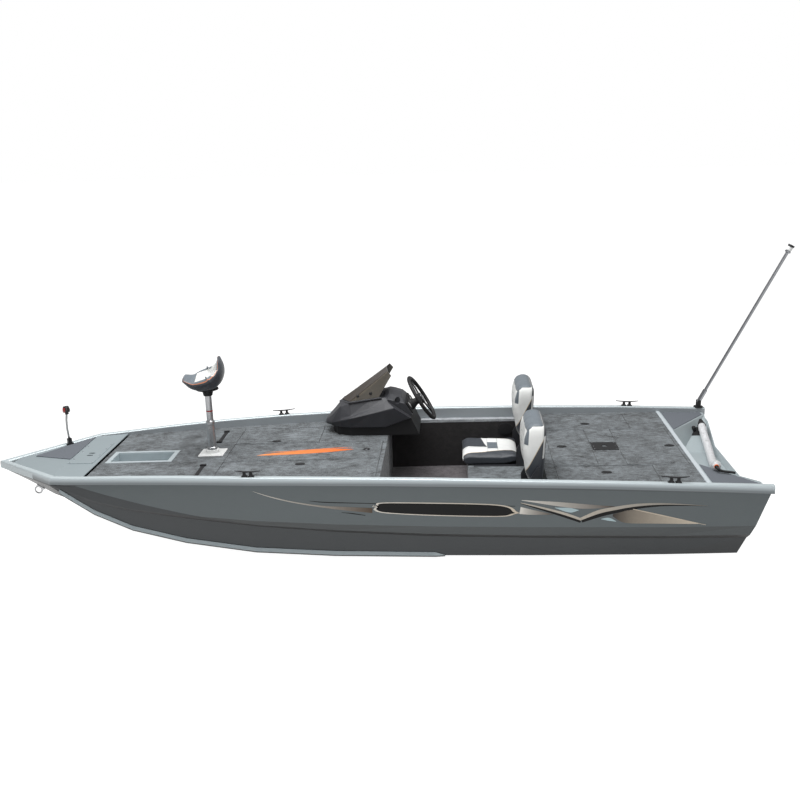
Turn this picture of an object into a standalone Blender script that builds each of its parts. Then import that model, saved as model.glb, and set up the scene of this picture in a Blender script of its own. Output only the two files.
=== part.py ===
"""Bass boat: a welded aluminium hull with a carpeted fore deck, a cockpit with a side console and two
folding seats, a carpeted aft deck, a splashwell, a bow fishing seat on a post, and two navigation lights.

Units are metres. In the finished part +X points to the bow, +Y to port and +Z up, with the origin on the
waterline, amidships on the centreline. Inside the hull frame, x runs forward from the top of the transom
and z runs up from the keel.
"""
import math

import bmesh
import bpy
from mathutils import Matrix, Vector

# Driving dimensions of the hull
LENGTH = 4.98
DRAFT = 0.16
PLATE = 0.005
TRANSOM_RAKE = 0.3475
GAP = 0.0003
RUN_GAP = 0.005

# Gunwale extrusion
RAIL_WIDTH = 0.045
RAIL_HEIGHT = 0.050
RAIL_PROUD = 0.010
RAIL_FLANGE = 0.006
RAIL_DROP = 0.028
RAIL_ROUND = 0.011
FLANGE_START_X = 0.06
NOSE_RELIEF = 0.006

# Decks
DECK_THICK = 0.016
FIT = 0.001
FORE_BULKHEAD_X = 2.32
FORE_DECK_Z = 0.5635
FORE_DECK_SLOPE = 0.0165
BOW_PLATE_X = 4.235
BOW_PLATE_Z = 0.541
AFT_BULKHEAD_X = 1.296
AFT_DECK_Z = 0.566
AFT_BAR_X = 0.335
BAR_WIDTH = 0.026
BULKHEAD = 0.012
LEDGE = 0.012
LOCKER_WALL = 0.004
LOCKER_RIM = 0.012
LID_THICK = DECK_THICK

# Cockpit
FLOOR_Z = 0.195
FLOOR_THICK = 0.015
BOX_TOP_Z = 0.350
BOX_FRONT_X = 1.766
LINER = 0.008

# Splashwell
WELL_DECK_Z = 0.560
WELL_FLOOR_Z = 0.420
WELL_HALF = 0.330
WELL_AFT_HALF = 0.800
WELL_SHEET = 0.004
NOTCH_Z = 0.460
NOTCH_HALF = 0.330
NOTCH_TOP_HALF = 0.860

# Helm and seats
SEAT_Y = 0.500
SEAT_WIDTH = 0.460
SEAT_REAR_X = 1.400
SEAT_FRONT_X = 1.812
SEAT_PLATE = 0.006
CUSHION_THICK = 0.078
BACK_TOP_Z = 0.918
SEAT_HINGE_X = 1.378
SEAT_HINGE_Z = 0.575
WHEEL_RADIUS = 0.180
RIM_RADIUS = 0.0135
DASH_TILT = math.radians(31.2)
DASH_TO_WHEEL = 0.101
WHEEL_HUB = 0.022

# Bow seat
POST_X = 3.497
POST_RADIUS = 0.028
POST_TOP = 0.405
SWIVEL_TOP = 0.0505
PLATE_SIDE = 0.170
BOW_SEAT_TURN = math.radians(11.0)
PLATE_THICK = 0.008

# Lights
POLE_RADIUS = 0.0115
POLE_LENGTH = 1.300
POLE_RAKE = math.radians(28.0)

# Hull sections, from the transom to the nose. Every height is above the keel line of the midship.
# x, rail_y, rail_z, crease_y, crease_z, band_y, band_z, ledge_y, ledge_z, chine_y, chine_z, keel_z
SECTIONS = [
    (0.00, 0.920, 0.592, 0.890, 0.335, 0.862, 0.268, 0.828, 0.238, 0.785, 0.123, 0.000),
    (0.60, 0.920, 0.611, 0.888, 0.330, 0.857, 0.262, 0.824, 0.234, 0.795, 0.120, 0.000),
    (1.40, 0.898, 0.626, 0.866, 0.326, 0.838, 0.262, 0.808, 0.236, 0.792, 0.116, 0.000),
    (2.00, 0.868, 0.632, 0.838, 0.324, 0.812, 0.266, 0.788, 0.242, 0.775, 0.112, 0.000),
    (2.60, 0.820, 0.627, 0.792, 0.324, 0.770, 0.278, 0.750, 0.258, 0.735, 0.105, 0.000),
    (3.10, 0.765, 0.616, 0.740, 0.330, 0.724, 0.298, 0.709, 0.284, 0.688, 0.112, 0.000),
    (3.55, 0.695, 0.601, 0.676, 0.345, 0.668, 0.330, 0.660, 0.322, 0.635, 0.156, 0.006),
    (3.90, 0.632, 0.582, 0.620, 0.370, 0.616, 0.360, 0.611, 0.353, 0.593, 0.225, 0.030),
    (4.15, 0.585, 0.565, 0.576, 0.410, 0.573, 0.402, 0.570, 0.396, 0.560, 0.320, 0.078),
    (4.32, 0.550, 0.554, 0.539, 0.460, 0.538, 0.454, 0.536, 0.449, 0.532, 0.415, 0.138),
    (4.44, 0.520, 0.549, 0.5095, 0.491, 0.509, 0.4895, 0.508, 0.4875, 0.505, 0.482, 0.190),
]
# Nose plates forward of the shoulders: x, keel_z
NOSE = [(4.62, 0.262), (4.80, 0.368), (4.95, 0.446)]
SHOULDER_X = 4.44
TIP_Z = 0.507
NOSE_FALL = 0.0778
NOSE_INSET = 1.45 * RAIL_PROUD
INNER_END_X = 4.32

# Deck lids, in the frame of their deck: name, x from, x to, y from, y to, hinge edge
FORE_LIDS = [
    ("lid_fore_port", 0.030, 1.060, 0.215, 0.585, "outboard"),
    ("lid_fore_centre", 0.030, 1.060, -0.190, 0.190, "forward"),
    ("lid_fore_starboard", 0.480, 1.060, -0.585, -0.215, "outboard"),
]
AFT_LIDS = [
    ("lid_aft_port", 0.620, 1.225, 0.430, 0.820, "outboard"),
    ("lid_aft_starboard", 0.620, 1.225, -0.820, -0.430, "outboard"),
    ("lid_aft_centre_front", 0.950, 1.225, -0.405, 0.405, "aft"),
    ("lid_aft_centre_rear", 0.385, 0.765, -0.405, 0.405, "forward"),
]
# Pedal tray in the fore deck's frame: x from, x to, y from, y to
TRAY = (1.420, 1.870, -0.080, 0.180)
TRAY_RIM = 0.026
TRAY_SHEET = 0.003
TRAY_DEPTH = 0.060
# Console in the fore deck's frame. The cowl's sections on each side of its middle, where bottom, lower, upper
# and top are points of the half section: x, bottom_y, bottom_z, lower_y, lower_z, upper_y, upper_z, top_y, top_z,
# ridge_z
CONSOLE_Y = -0.535
COWL = [
    (0.452, 0.060, 0.062, 0.075, 0.070, 0.070, 0.080, 0.050, 0.090, 0.092),
    (0.400, 0.120, 0.060, 0.145, 0.085, 0.140, 0.100, 0.110, 0.135, 0.145),
    (0.335, 0.175, 0.060, 0.195, 0.110, 0.185, 0.125, 0.150, 0.205, 0.222),
    (0.262, 0.210, 0.062, 0.232, 0.135, 0.200, 0.142, 0.155, 0.232, 0.240),
    (0.130, 0.225, 0.064, 0.240, 0.165, 0.195, 0.190, 0.155, 0.248, 0.256),
    (0.017, 0.228, 0.064, 0.242, 0.190, 0.190, 0.228, 0.155, 0.262, 0.272),
    (-0.100, 0.228, 0.104, 0.242, 0.217, 0.185, 0.270, 0.150, 0.285, 0.295),
    (-0.230, 0.228, 0.148, 0.242, 0.246, 0.180, 0.310, 0.145, 0.315, 0.320),
]
# The cowl's raked aft edge from top to foot, and the domed pod behind it, from its fore foot over to the head of
# the raked dash: x, z at the middle, and how far the side lies below the middle
COWL_END = [(0.042, 0.318), (-0.006, 0.236), (-0.163, 0.125), (-0.222, 0.000)]
POD = [
    (0.052, 0.080, 0.000), (0.052, 0.245, 0.015), (0.022, 0.278, 0.030), (-0.008, 0.289, 0.038),
    (-0.041, 0.284, 0.042), (-0.093, 0.266, 0.048),
]
POD_HALF = 0.170
POD_ARCH = (-0.070, 0.236, 0.020)
# The plinth and knee panel under the cowl: x, half breadth
PLINTH = [(0.398, 0.060), (0.362, 0.140), (0.270, 0.190), (0.017, 0.205)]
DASH_FOOT_X = -0.1753
DASH_FOOT_Z = 0.130
HELM_Y = -0.500
HELM_RISE = 0.0405
PANEL_THICK = 0.010
# The windscreen's foot and top on each side of the middle: x, half breadth. The top has a height too.
SCREEN_FOOT = [(0.338, 0.000), (0.262, 0.150), (0.062, 0.150)]
SCREEN_TOP = [(0.006, 0.000, 0.452), (-0.010, 0.137, 0.443), (-0.034, 0.139, 0.414)]
SCREEN_THICK = 0.004
RIDGE = 0.008
# Bolted plate on the bow: x from, x to, y from, y to, and its two slots: x of both, y of each
MOTOR_PLATE = (4.262, 4.430, -0.270, 0.205)
MOTOR_PLATE_THICK = 0.003
MOTOR_SLOTS = (4.341, -0.027, 0.022)
BOW_LIGHT = (4.588, -0.291)
# Rigging: two rubber boots on the splashwell's starboard slope, x and y of each, and the hose across the well
BOOTS = [(0.142, -0.590, 0.022), (0.092, -0.560, 0.060)]
HORN_LENGTH = 0.085
HOSE_RADIUS = 0.027
HOSE_ROUTE = [
    (0.0945, -0.5450, 0.5455), (0.0997, -0.490, 0.5318), (0.106, -0.400, 0.511), (0.115, -0.280, 0.490),
    (0.130, -0.140, 0.475), (0.150, 0.010, 0.471), (0.172, 0.150, 0.480), (0.195, 0.280, 0.508),
    (0.215, 0.390, 0.546), (0.230, 0.460, 0.576), (0.243, 0.515, 0.5925), (0.251, 0.553, 0.5955),
]
PLUG_RADIUS = 0.008
# the black cable from the hose's end along the edge of the port mat
PLUG_ROUTE = [(0.248, 0.589, 0.590), (0.226, 0.597, 0.580), (0.151, 0.618, 0.5745)]
FORE_LOCKER_DEPTH = 0.315
AFT_LOCKER_DEPTH = 0.275


# Scene and materials


def clear_scene():
    """Removes whatever the file opened with."""
    for item in list(bpy.data.objects):
        bpy.data.objects.remove(item, do_unlink=True)


def make_collection(name):
    """A collection linked to the scene."""
    group = bpy.data.collections.new(name)
    bpy.context.scene.collection.children.link(group)
    return group


def finish(name, colour, roughness, metallic=0.0):
    """A material with the part's colour, roughness and metallic value."""
    material = bpy.data.materials.new(name)
    material.use_nodes = True
    shader = material.node_tree.nodes["Principled BSDF"]
    shader.inputs["Base Color"].default_value = (*colour, 1.0)
    shader.inputs["Roughness"].default_value = roughness
    shader.inputs["Metallic"].default_value = metallic
    return material


clear_scene()
BOAT = make_collection("bass_boat")
CUTTERS = make_collection("bass_boat_cutters")

HULL_GREY = finish("hull_paint", (0.115, 0.135, 0.142), 0.42, 0.35)
TRIM_GREY = finish("trim_paint", (0.50, 0.56, 0.59), 0.38, 0.25)
CARPET = finish("deck_carpet", (0.165, 0.170, 0.180), 0.95)
DARK_CARPET = finish("cockpit_carpet", (0.014, 0.012, 0.013), 0.98)
MAT_GREY = finish("deck_mat", (0.155, 0.170, 0.190), 0.80)
BLACK = finish("black_plastic", (0.012, 0.012, 0.013), 0.45)
CONSOLE = finish("console_moulding", (0.040, 0.042, 0.046), 0.60)
TINT = finish("tinted_acrylic", (0.18, 0.12, 0.07), 0.12)
METAL = finish("bare_aluminium", (0.60, 0.61, 0.62), 0.32, 0.9)
WHITE = finish("white_plastic", (0.76, 0.76, 0.75), 0.40)
VINYL = finish("seat_vinyl", (0.72, 0.73, 0.72), 0.50)
FILM = finish("white_film", (0.80, 0.80, 0.80), 0.45)


# Shape helpers


def add_frame(name, parent, location=(0, 0, 0), rotation=(0, 0, 0)):
    """An empty that places what hangs from it."""
    frame = bpy.data.objects.new(name, None)
    frame.location = location
    frame.rotation_euler = rotation
    frame.parent = parent
    BOAT.objects.link(frame)
    return frame


def place(mesh, name, material, parent, location=(0, 0, 0), rotation=(0, 0, 0), group=None):
    """A mesh as a named object with its material, under its parent."""
    item = bpy.data.objects.new(name, mesh)
    item.location = location
    item.rotation_euler = rotation
    item.parent = parent
    (group or BOAT).objects.link(item)
    if material is not None:
        mesh.materials.append(material)
    return item


def mesh_from(name, build):
    """A new mesh filled by build(bm), with its faces turned outwards."""
    mesh = bpy.data.meshes.new(name)
    bm = bmesh.new()
    build(bm)
    bmesh.ops.recalc_face_normals(bm, faces=bm.faces)
    bm.to_mesh(mesh)
    bm.free()
    return mesh


def box_mesh(name, low, high):
    """A cube primitive stretched between two corners."""
    low, high = Vector(low), Vector(high)

    def build(bm):
        matrix = Matrix.LocRotScale((low + high) / 2, None, high - low)
        bmesh.ops.create_cube(bm, size=1.0, matrix=matrix)

    return mesh_from(name, build)


def add_box(name, low, high, material, parent, bevel=0.0, **where):
    """A box between two corners, with rounded edges where bevel is given."""
    item = place(box_mesh(name, low, high), name, material, parent, **where)
    if bevel:
        round_edges(item, bevel)
    return item


def round_edges(item, width, segments=2, angle=40.0):
    """A Bevel modifier on the edges that are sharper than an angle."""
    modifier = item.modifiers.new("rounding", "BEVEL")
    modifier.width = width
    modifier.segments = segments
    modifier.limit_method = "ANGLE"
    modifier.angle_limit = math.radians(angle)
    return modifier


def loft_mesh(name, rings):
    """A closed body through rings of as many points each, with flat caps at both ends."""

    def build(bm):
        rows = [[bm.verts.new(point) for point in ring] for ring in rings]
        count = len(rows[0])
        for near, far in zip(rows, rows[1:]):
            for i in range(count):
                j = (i + 1) % count
                bm.faces.new((near[i], near[j], far[j], far[i]))
        bm.faces.new(rows[0])
        bm.faces.new(rows[-1])

    return mesh_from(name, build)


def outline_mesh(name, points, low, high):
    """A flat outline in plan, from height low to height high, by a filled and extruded 2D curve."""
    curve = bpy.data.curves.new(name, "CURVE")
    curve.dimensions = "2D"
    curve.fill_mode = "BOTH"
    curve.extrude = (high - low) / 2
    spline = curve.splines.new("POLY")
    spline.points.add(len(points) - 1)
    for target, (x, y) in zip(spline.points, points):
        target.co = (x, y, 0.0, 1.0)
    spline.use_cyclic_u = True
    return solid_from_curve(curve, name, Matrix.Translation((0, 0, (low + high) / 2)))


def solid_from_curve(curve, name, matrix=None):
    """The mesh of a curve, with its loose caps welded on."""
    holder = bpy.data.objects.new(name + "_curve", curve)
    BOAT.objects.link(holder)
    bpy.context.view_layer.update()
    graph = bpy.context.evaluated_depsgraph_get()
    mesh = bpy.data.meshes.new_from_object(holder.evaluated_get(graph))
    bpy.data.objects.remove(holder)
    mesh.name = name
    mesh.materials.clear()
    bm = bmesh.new()
    bm.from_mesh(mesh)
    bmesh.ops.remove_doubles(bm, verts=bm.verts, dist=0.00002)
    bmesh.ops.recalc_face_normals(bm, faces=bm.faces)
    if matrix is not None:
        bm.transform(matrix)
    bm.to_mesh(mesh)
    bm.free()
    return mesh


def tube_mesh(name, points, radius, resolution=2):
    """A round bar along a chain of points, with filled caps."""
    curve = bpy.data.curves.new(name, "CURVE")
    curve.dimensions = "3D"
    curve.bevel_depth = radius
    curve.bevel_resolution = resolution
    curve.use_fill_caps = True
    spline = curve.splines.new("POLY")
    spline.points.add(len(points) - 1)
    for target, point in zip(spline.points, points):
        target.co = (*point, 1.0)
    return solid_from_curve(curve, name)


def cylinder_mesh(name, radius, low, high, sides=24, top_radius=None):
    """An upright cone or cylinder primitive between two heights."""
    top = radius if top_radius is None else top_radius

    def build(bm):
        bmesh.ops.create_cone(
            bm, cap_ends=True, segments=sides, radius1=radius, radius2=top, depth=high - low,
            matrix=Matrix.Translation((0, 0, (low + high) / 2)),
        )

    return mesh_from(name, build)


def turned(name, profile, material, parent, sides=24, **where):
    """A profile of (radius, height), listed top to bottom and closed on the axis, turned with Screw."""
    mesh = bpy.data.meshes.new(name)
    bm = bmesh.new()
    verts = [bm.verts.new((radius, 0.0, height)) for radius, height in profile]
    for first, second in zip(verts, verts[1:]):
        bm.edges.new((first, second))
    bm.to_mesh(mesh)
    bm.free()
    item = place(mesh, name, material, parent, **where)
    screw = item.modifiers.new("turning", "SCREW")
    screw.steps = sides
    screw.render_steps = sides
    screw.use_merge_vertices = True
    screw.merge_threshold = 0.0001
    return item


def cut(item, *meshes, operation="DIFFERENCE"):
    """Takes cutter meshes out of a piece, or joins them to it, in the frame of the piece."""
    for mesh in meshes:
        cutter = place(mesh, mesh.name, None, item.parent, item.location, item.rotation_euler, CUTTERS)
        cutter.hide_render = True
        cutter.display_type = "WIRE"
        modifier = item.modifiers.new(operation.lower(), "BOOLEAN")
        modifier.operation = operation
        modifier.solver = "EXACT"
        modifier.object = cutter
    return item


def smooth(item, levels=2):
    """A Subdivision Surface modifier, the same in the viewport and the render."""
    modifier = item.modifiers.new("softening", "SUBSURF")
    modifier.levels = levels
    modifier.render_levels = levels
    return item


def lerp(a, b, t):
    """The number a share t of the way from a to b."""
    return a + (b - a) * t


def table_at(rows, x, column):
    """A column of a table, read at x between its rows."""
    for low, high in zip(rows, rows[1:]):
        if x <= high[0]:
            return lerp(low[column], high[column], (x - low[0]) / (high[0] - low[0]))
    return rows[-1][column]


# Hull form


def rail_path():
    """The gunwale's outer top edge on the port side, from the transom to the tip of the nose."""
    path = [Vector((row[0], row[1], row[2])) for row in SECTIONS]
    path.insert(1, path[0].lerp(path[1], FLANGE_START_X / path[1].x))
    path.append(Vector((LENGTH, 0.0, TIP_Z)))
    return path


def outer_section(row):
    """Half of a hull section, from the plating's top edge under the gunwale down to the keel."""
    relief = NOSE_RELIEF if row[0] >= INNER_END_X else 0.0
    top = (row[1] - RAIL_PROUD, row[2] - RAIL_HEIGHT - GAP - relief)
    return [top, (row[3], row[4]), (row[5], row[6]), (row[7], row[8]), (row[9], row[10]), (0.0, row[11])]


def inset_section(points, thickness):
    """A half section moved inwards by the plate's thickness, square to each of its faces."""
    mirrored = points + [(-points[-2][0], points[-2][1])]
    moved = []
    for i in range(len(points)):
        before = Vector(mirrored[i - 1]) if i else None
        here = Vector(mirrored[i])
        after = Vector(mirrored[i + 1])
        normals = []
        for start, end in ((before, here), (here, after)):
            if start is not None:
                run = (end - start).normalized()
                normals.append(Vector((run.y, -run.x)))
        mitre = sum(normals, Vector((0, 0))) / len(normals)
        mitre = mitre / mitre.length_squared
        moved.append(tuple(here + mitre * thickness))
    return moved


INNER_ROWS = [(row[0], inset_section(outer_section(row), PLATE)) for row in SECTIONS]


def inner_section(x):
    """The inside of the plating at a station between two rows of the table."""
    for (x0, low), (x1, high) in zip(INNER_ROWS, INNER_ROWS[1:]):
        if x <= x1:
            t = (x - x0) / (x1 - x0)
            return [(lerp(a[0], b[0], t), lerp(a[1], b[1], t)) for a, b in zip(low, high)]
    return INNER_ROWS[-1][1]


def inner_half_breadth(x, z):
    """How far the inside of the plating is from the centreline at a station and a height."""
    section = inner_section(x)
    for upper, lower in zip(section, section[1:]):
        if lower[1] <= z <= upper[1]:
            return lerp(lower[0], upper[0], (z - lower[1]) / (upper[1] - lower[1]))
    return section[0][0]


def both_sides(half):
    """A ring from a half section: port top to keel, then up the starboard side."""
    return half + [(-y, z) for y, z in reversed(half[:-1])]


def transom_x(z, inset=0.0):
    """Where the raked transom is at a height, moved inwards by inset."""
    return TRANSOM_RAKE * (SECTIONS[0][2] - z) + inset


def hull_skin():
    """The welded plating: the outer form less the inner one, open above, with the motor notch cut."""
    outer = []
    for row in SECTIONS:
        ring = both_sides(outer_section(row))
        outer.append([(transom_x(z) if row[0] == 0 else row[0], y, z) for y, z in ring])
    for x, keel_z in NOSE:
        share = (LENGTH - x) / (LENGTH - SHOULDER_X)
        half = SECTIONS[-1][1] * share - NOSE_INSET
        top = lerp(TIP_Z, SECTIONS[-1][2], share) - RAIL_HEIGHT - GAP - NOSE_RELIEF
        steps = [0.0, 0.12, 0.24, 0.36, 0.6]
        rise = 0.016 * share
        points = [(half * (1 - 0.01 * s), top - rise * s) for s in steps] + [(0.0, min(keel_z, top - rise))]
        outer.append([(x, y, z) for y, z in both_sides(points)])
    item = place(loft_mesh("hull_skin", outer), "hull_skin", HULL_GREY, HULL)

    inner = []
    for (x, half), row in zip(INNER_ROWS, SECTIONS):
        if x > INNER_END_X:
            break
        raised = [(half[0][0], half[0][1] + 0.2)] + half
        ring = both_sides(raised)
        inner.append([(transom_x(z, PLATE * 1.06) if x == 0 else x, y, z) for y, z in ring])
    notch_top = 0.80
    slope = (NOTCH_TOP_HALF - NOTCH_HALF) / (WELL_DECK_Z + 0.02 - NOTCH_Z)
    wide = NOTCH_HALF + slope * (notch_top - NOTCH_Z)
    notch = [(-NOTCH_HALF, NOTCH_Z), (NOTCH_HALF, NOTCH_Z), (wide, notch_top), (-wide, notch_top)]
    notch_rings = [[(x, y, z) for y, z in notch] for x in (-0.05, 0.20)]
    cut(item, loft_mesh("hull_inside", inner), loft_mesh("motor_notch", notch_rings))
    return item


def mitred(path, i):
    """The level direction, inwards of a path, in which a profile is carried round its corner i."""
    normals = []
    for start, end in ((i - 1, i), (i, i + 1)):
        if start >= 0 and end < len(path):
            run = path[end] - path[start]
            normals.append(Vector((run.y, -run.x, 0.0)).normalized())
    mitre = sum(normals, Vector()) / len(normals)
    return mitre / mitre.length_squared


def rail_inner_path():
    """The gunwale's inner face on the port side, in plan."""
    path = rail_path()
    whole = path + [Vector((p.x, -p.y, p.z)) for p in reversed(path[:-1])]
    return [whole[i] + mitred(whole, i) * RAIL_WIDTH for i in range(len(path))]


def rail_inner(x):
    """How far the gunwale's inner face is from the centreline at a station."""
    path = rail_inner_path()
    for low, high in zip(path, path[1:]):
        if x <= high.x:
            return lerp(low.y, high.y, (x - low.x) / (high.x - low.x))
    return 0.0


def rail_top(x):
    """The gunwale's top height at a station."""
    return table_at(SECTIONS, x, 2)


def rail_pitch(x):
    """The turn about Y that lays a fitting along the gunwale's top."""
    return -math.atan2(rail_top(x + 0.01) - rail_top(x - 0.01), 0.02)


def gunwale():
    """One extrusion from the port quarter round the nose to the starboard quarter, mitred at its corners."""
    r = RAIL_ROUND
    arc = [(r - r * math.cos(a), -r + r * math.sin(a)) for a in (0.0, math.pi / 6, math.pi / 3, math.pi / 2)]
    far = [(RAIL_WIDTH - u, v) for u, v in reversed(arc)]
    crown = [(0.0, -RAIL_HEIGHT)] + arc + far
    path = rail_path()
    whole = path + [Vector((p.x, -p.y, p.z)) for p in reversed(path[:-1])]
    rings = []
    for i, point in enumerate(whole):
        inward = mitred(whole, i)
        flanged = FLANGE_START_X + 0.01 < point.x < INNER_END_X
        drop = RAIL_HEIGHT + (RAIL_DROP if flanged else GAP * 0.7)
        flange = [(RAIL_WIDTH, -drop), (RAIL_WIDTH - RAIL_FLANGE, -drop), (RAIL_WIDTH - RAIL_FLANGE, -RAIL_HEIGHT)]
        rings.append([point + inward * u + Vector((0, 0, v)) for u, v in crown + flange])
    return place(loft_mesh("gunwale", rings), "gunwale", TRIM_GREY, HULL)


def side_point(x, rise):
    """A point on the outside of the port plating, a height above the chine, with its level outward step."""
    rows = [(row[0], outer_section(row)) for row in SECTIONS]
    for (x0, low), (x1, high) in zip(rows, rows[1:]):
        if x <= x1:
            t = (x - x0) / (x1 - x0)
            section = [(lerp(a[0], b[0], t), lerp(a[1], b[1], t)) for a, b in zip(low, high)]
            break
    chine = section[4]
    z = chine[1] + rise
    for upper, lower in zip(section, section[1:]):
        if lower[1] <= z <= upper[1]:
            return lerp(lower[0], upper[0], (z - lower[1]) / (upper[1] - lower[1])), z
    return section[0][0], z


def spray_rail(side):
    """The light strip welded along a chine, from the shoulder back past the console, tapered at its end."""
    stations = [1.92, 1.98, 2.30, 2.60, 2.85, 3.10, 3.33, 3.55, 3.73, 3.90, 4.03, 4.15, 4.235, 4.32, 4.38]
    heights = [0.004, 0.022] + [0.024] * (len(stations) - 2)
    rings = []
    for x, tall in zip(stations, heights):
        low_y, low_z = side_point(x, 0.0)
        mid_y, mid_z = side_point(x, tall * 0.5)
        top_y, top_z = side_point(x, tall)
        reach = tall * 0.55
        gap = 0.0016
        ring = [
            (x, low_y + gap, low_z), (x, low_y + reach, low_z - 0.006), (x, low_y + reach + 0.003, low_z + 0.003),
            (x, top_y + 0.004, top_z), (x, top_y + gap, top_z), (x, mid_y + gap, mid_z),
        ]
        rings.append([(px, side * py, pz) for px, py, pz in ring])
    name = "spray_rail_port" if side > 0 else "spray_rail_starboard"
    return place(loft_mesh(name, rings), name, TRIM_GREY, HULL)


def keel_strip():
    """The wear strip under the keel, from near the transom to the forefoot."""
    half, deep = 0.012, 0.020
    rings = []
    for x in (0.22, 0.60, 1.40, 2.00, 2.60, 3.10, 3.55, 3.90, 4.15, 4.32):
        z = table_at(SECTIONS, x, 11) - GAP
        drop = deep if x < 4.3 else 0.006
        rings.append([(x, -half, z), (x, half, z), (x, half * 0.7, z - drop), (x, -half * 0.7, z - drop)])
    return place(loft_mesh("keel_strip", rings), "keel_strip", HULL_GREY, HULL)


# Bow


def bow_plate():
    """The light plate between the gunwales, level over the shoulders and falling to the tip of the nose,
    with a bolted plate for a bow motor that has two slots through it."""
    thick = 0.005
    stations = [BOW_PLATE_X, SHOULDER_X, 4.60, 4.75, 4.86]
    rings = []
    for x in stations:
        half = rail_inner(x) - GAP * 2
        z = BOW_PLATE_Z - NOSE_FALL * max(0.0, x - SHOULDER_X)
        rings.append([(x, half, z), (x, half, z - thick), (x, -half, z - thick), (x, -half, z)])
    item = place(loft_mesh("bow_plate", rings), "bow_plate", TRIM_GREY, HULL)
    x0, x1, y0, y1 = MOTOR_PLATE
    raised = box_mesh("motor_plate", (x0, y0, BOW_PLATE_Z - thick / 2), (x1, y1, BOW_PLATE_Z + MOTOR_PLATE_THICK))
    cut(item, raised, operation="UNION")
    slots = []
    for y in MOTOR_SLOTS[1:]:
        slot = cylinder_mesh("motor_slot", 0.012, -0.05, 0.05, 16)
        slot.transform(Matrix.Diagonal((1.9, 1.0, 1.0, 1.0)))
        slot.transform(Matrix.Translation((MOTOR_SLOTS[0], y, BOW_PLATE_Z)))
        slots.append(slot)
    cut(item, *slots)
    return item


def bow_mat(nose):
    """The three-cornered foam mat on the starboard half of the nose."""
    points = [(0.304, -0.048), (0.304, -0.066), (0.012, -0.433), (0.006, -0.426), (0.006, 0.095), (0.012, 0.103)]
    return place(outline_mesh("bow_mat", points, GAP, GAP + 0.004), "bow_mat", MAT_GREY, nose)


def bow_eye():
    """The towing eye under the nose: a ring bar welded to a lug that follows the stem."""
    (x0, z0), (x1, z1) = NOSE[0], NOSE[1]
    slope = math.atan2(z1 - z0, x1 - x0)
    where = {"location": (4.732, 0, 0.293), "rotation": (math.pi / 2, 0, 0)}
    item = place(ring_mesh("bow_eye", 0.0238, 0.0055), "bow_eye", METAL, HULL, **where)
    away = (4.732 - x0) * math.sin(slope) - (0.293 - z0) * math.cos(slope)
    lug = box_mesh("eye_lug", (-0.034, away - 0.012, -0.005), (0.026, away - FIT, 0.005))
    lug.transform(Matrix.Rotation(slope, 4, "Z"))
    cut(item, lug, operation="UNION")
    return item


def ring_mesh(name, major, minor, major_steps=28, minor_steps=10):
    """A torus about Z, as a surface of rings."""

    def build(bm):
        rows = []
        for i in range(major_steps):
            a = 2 * math.pi * i / major_steps
            row = []
            for j in range(minor_steps):
                b = 2 * math.pi * j / minor_steps
                reach = major + minor * math.cos(b)
                row.append(bm.verts.new((reach * math.cos(a), reach * math.sin(a), minor * math.sin(b))))
            rows.append(row)
        for i in range(major_steps):
            for j in range(minor_steps):
                n, m = (i + 1) % major_steps, (j + 1) % minor_steps
                bm.faces.new((rows[i][j], rows[n][j], rows[n][m], rows[i][m]))

    return mesh_from(name, build)


# Decks and lockers


def deck_outline(x_from, x_to, inset=GAP):
    """The port and starboard edges of a deck between two stations, just inside the gunwale's inner face."""
    stations = [x_from] + [p.x for p in rail_inner_path() if x_from < p.x < x_to] + [x_to]
    port = [(x, rail_inner(x) - inset) for x in stations]
    return port + [(x, -y) for x, y in reversed(port)]


def shifted(points, x):
    """Plan points measured from a frame that stands at x."""
    return [(px - x, py) for px, py in points]


def deck_with_lids(name, outline, lids, extra=()):
    """A carpeted panel in its own frame, top face at zero, with an opening for each lid."""
    item = place(outline_mesh(name, outline, -DECK_THICK, 0.0), name, CARPET, None)
    holes = [
        box_mesh(
            name + "_opening", (x0 - RUN_GAP, y0 - RUN_GAP, -0.1), (x1 + RUN_GAP, y1 + RUN_GAP, 0.1),
        )
        for _, x0, x1, y0, y1, _ in lids
    ]
    return item, holes + list(extra)


def lockers(name, lids, depth, outline):
    """One welded liner under a deck: a pocket for each lid, with a rim inside each deck opening."""
    top = -DECK_THICK - GAP
    item = place(outline_mesh(name, outline, top - depth, top), name, METAL, None)
    pockets = [
        box_mesh(
            name + "_pocket", (x0 + LEDGE, y0 + LEDGE, top - depth + LOCKER_WALL), (x1 - LEDGE, y1 - LEDGE, 0.1),
        )
        for _, x0, x1, y0, y1, _ in lids
    ]
    return item, pockets


def deck_lid(row, frame):
    """A carpeted lid that lies flush on the locker's rim, with its origin on its hinge line."""
    name, x0, x1, y0, y1, hinge = row
    side = 1 if (y0 + y1) > 0 else -1
    pivots = {
        "outboard": (0.0, max(abs(y0), abs(y1)) * side),
        "forward": (x1, 0.0),
        "aft": (x0, 0.0),
    }
    px, py = pivots[hinge]
    low = (x0 - px, y0 - py, -LID_THICK)
    high = (x1 - px, y1 - py, 0.0)
    return add_box(name, low, high, CARPET, frame, bevel=0.0015, location=(px, py, 0.0))


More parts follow.
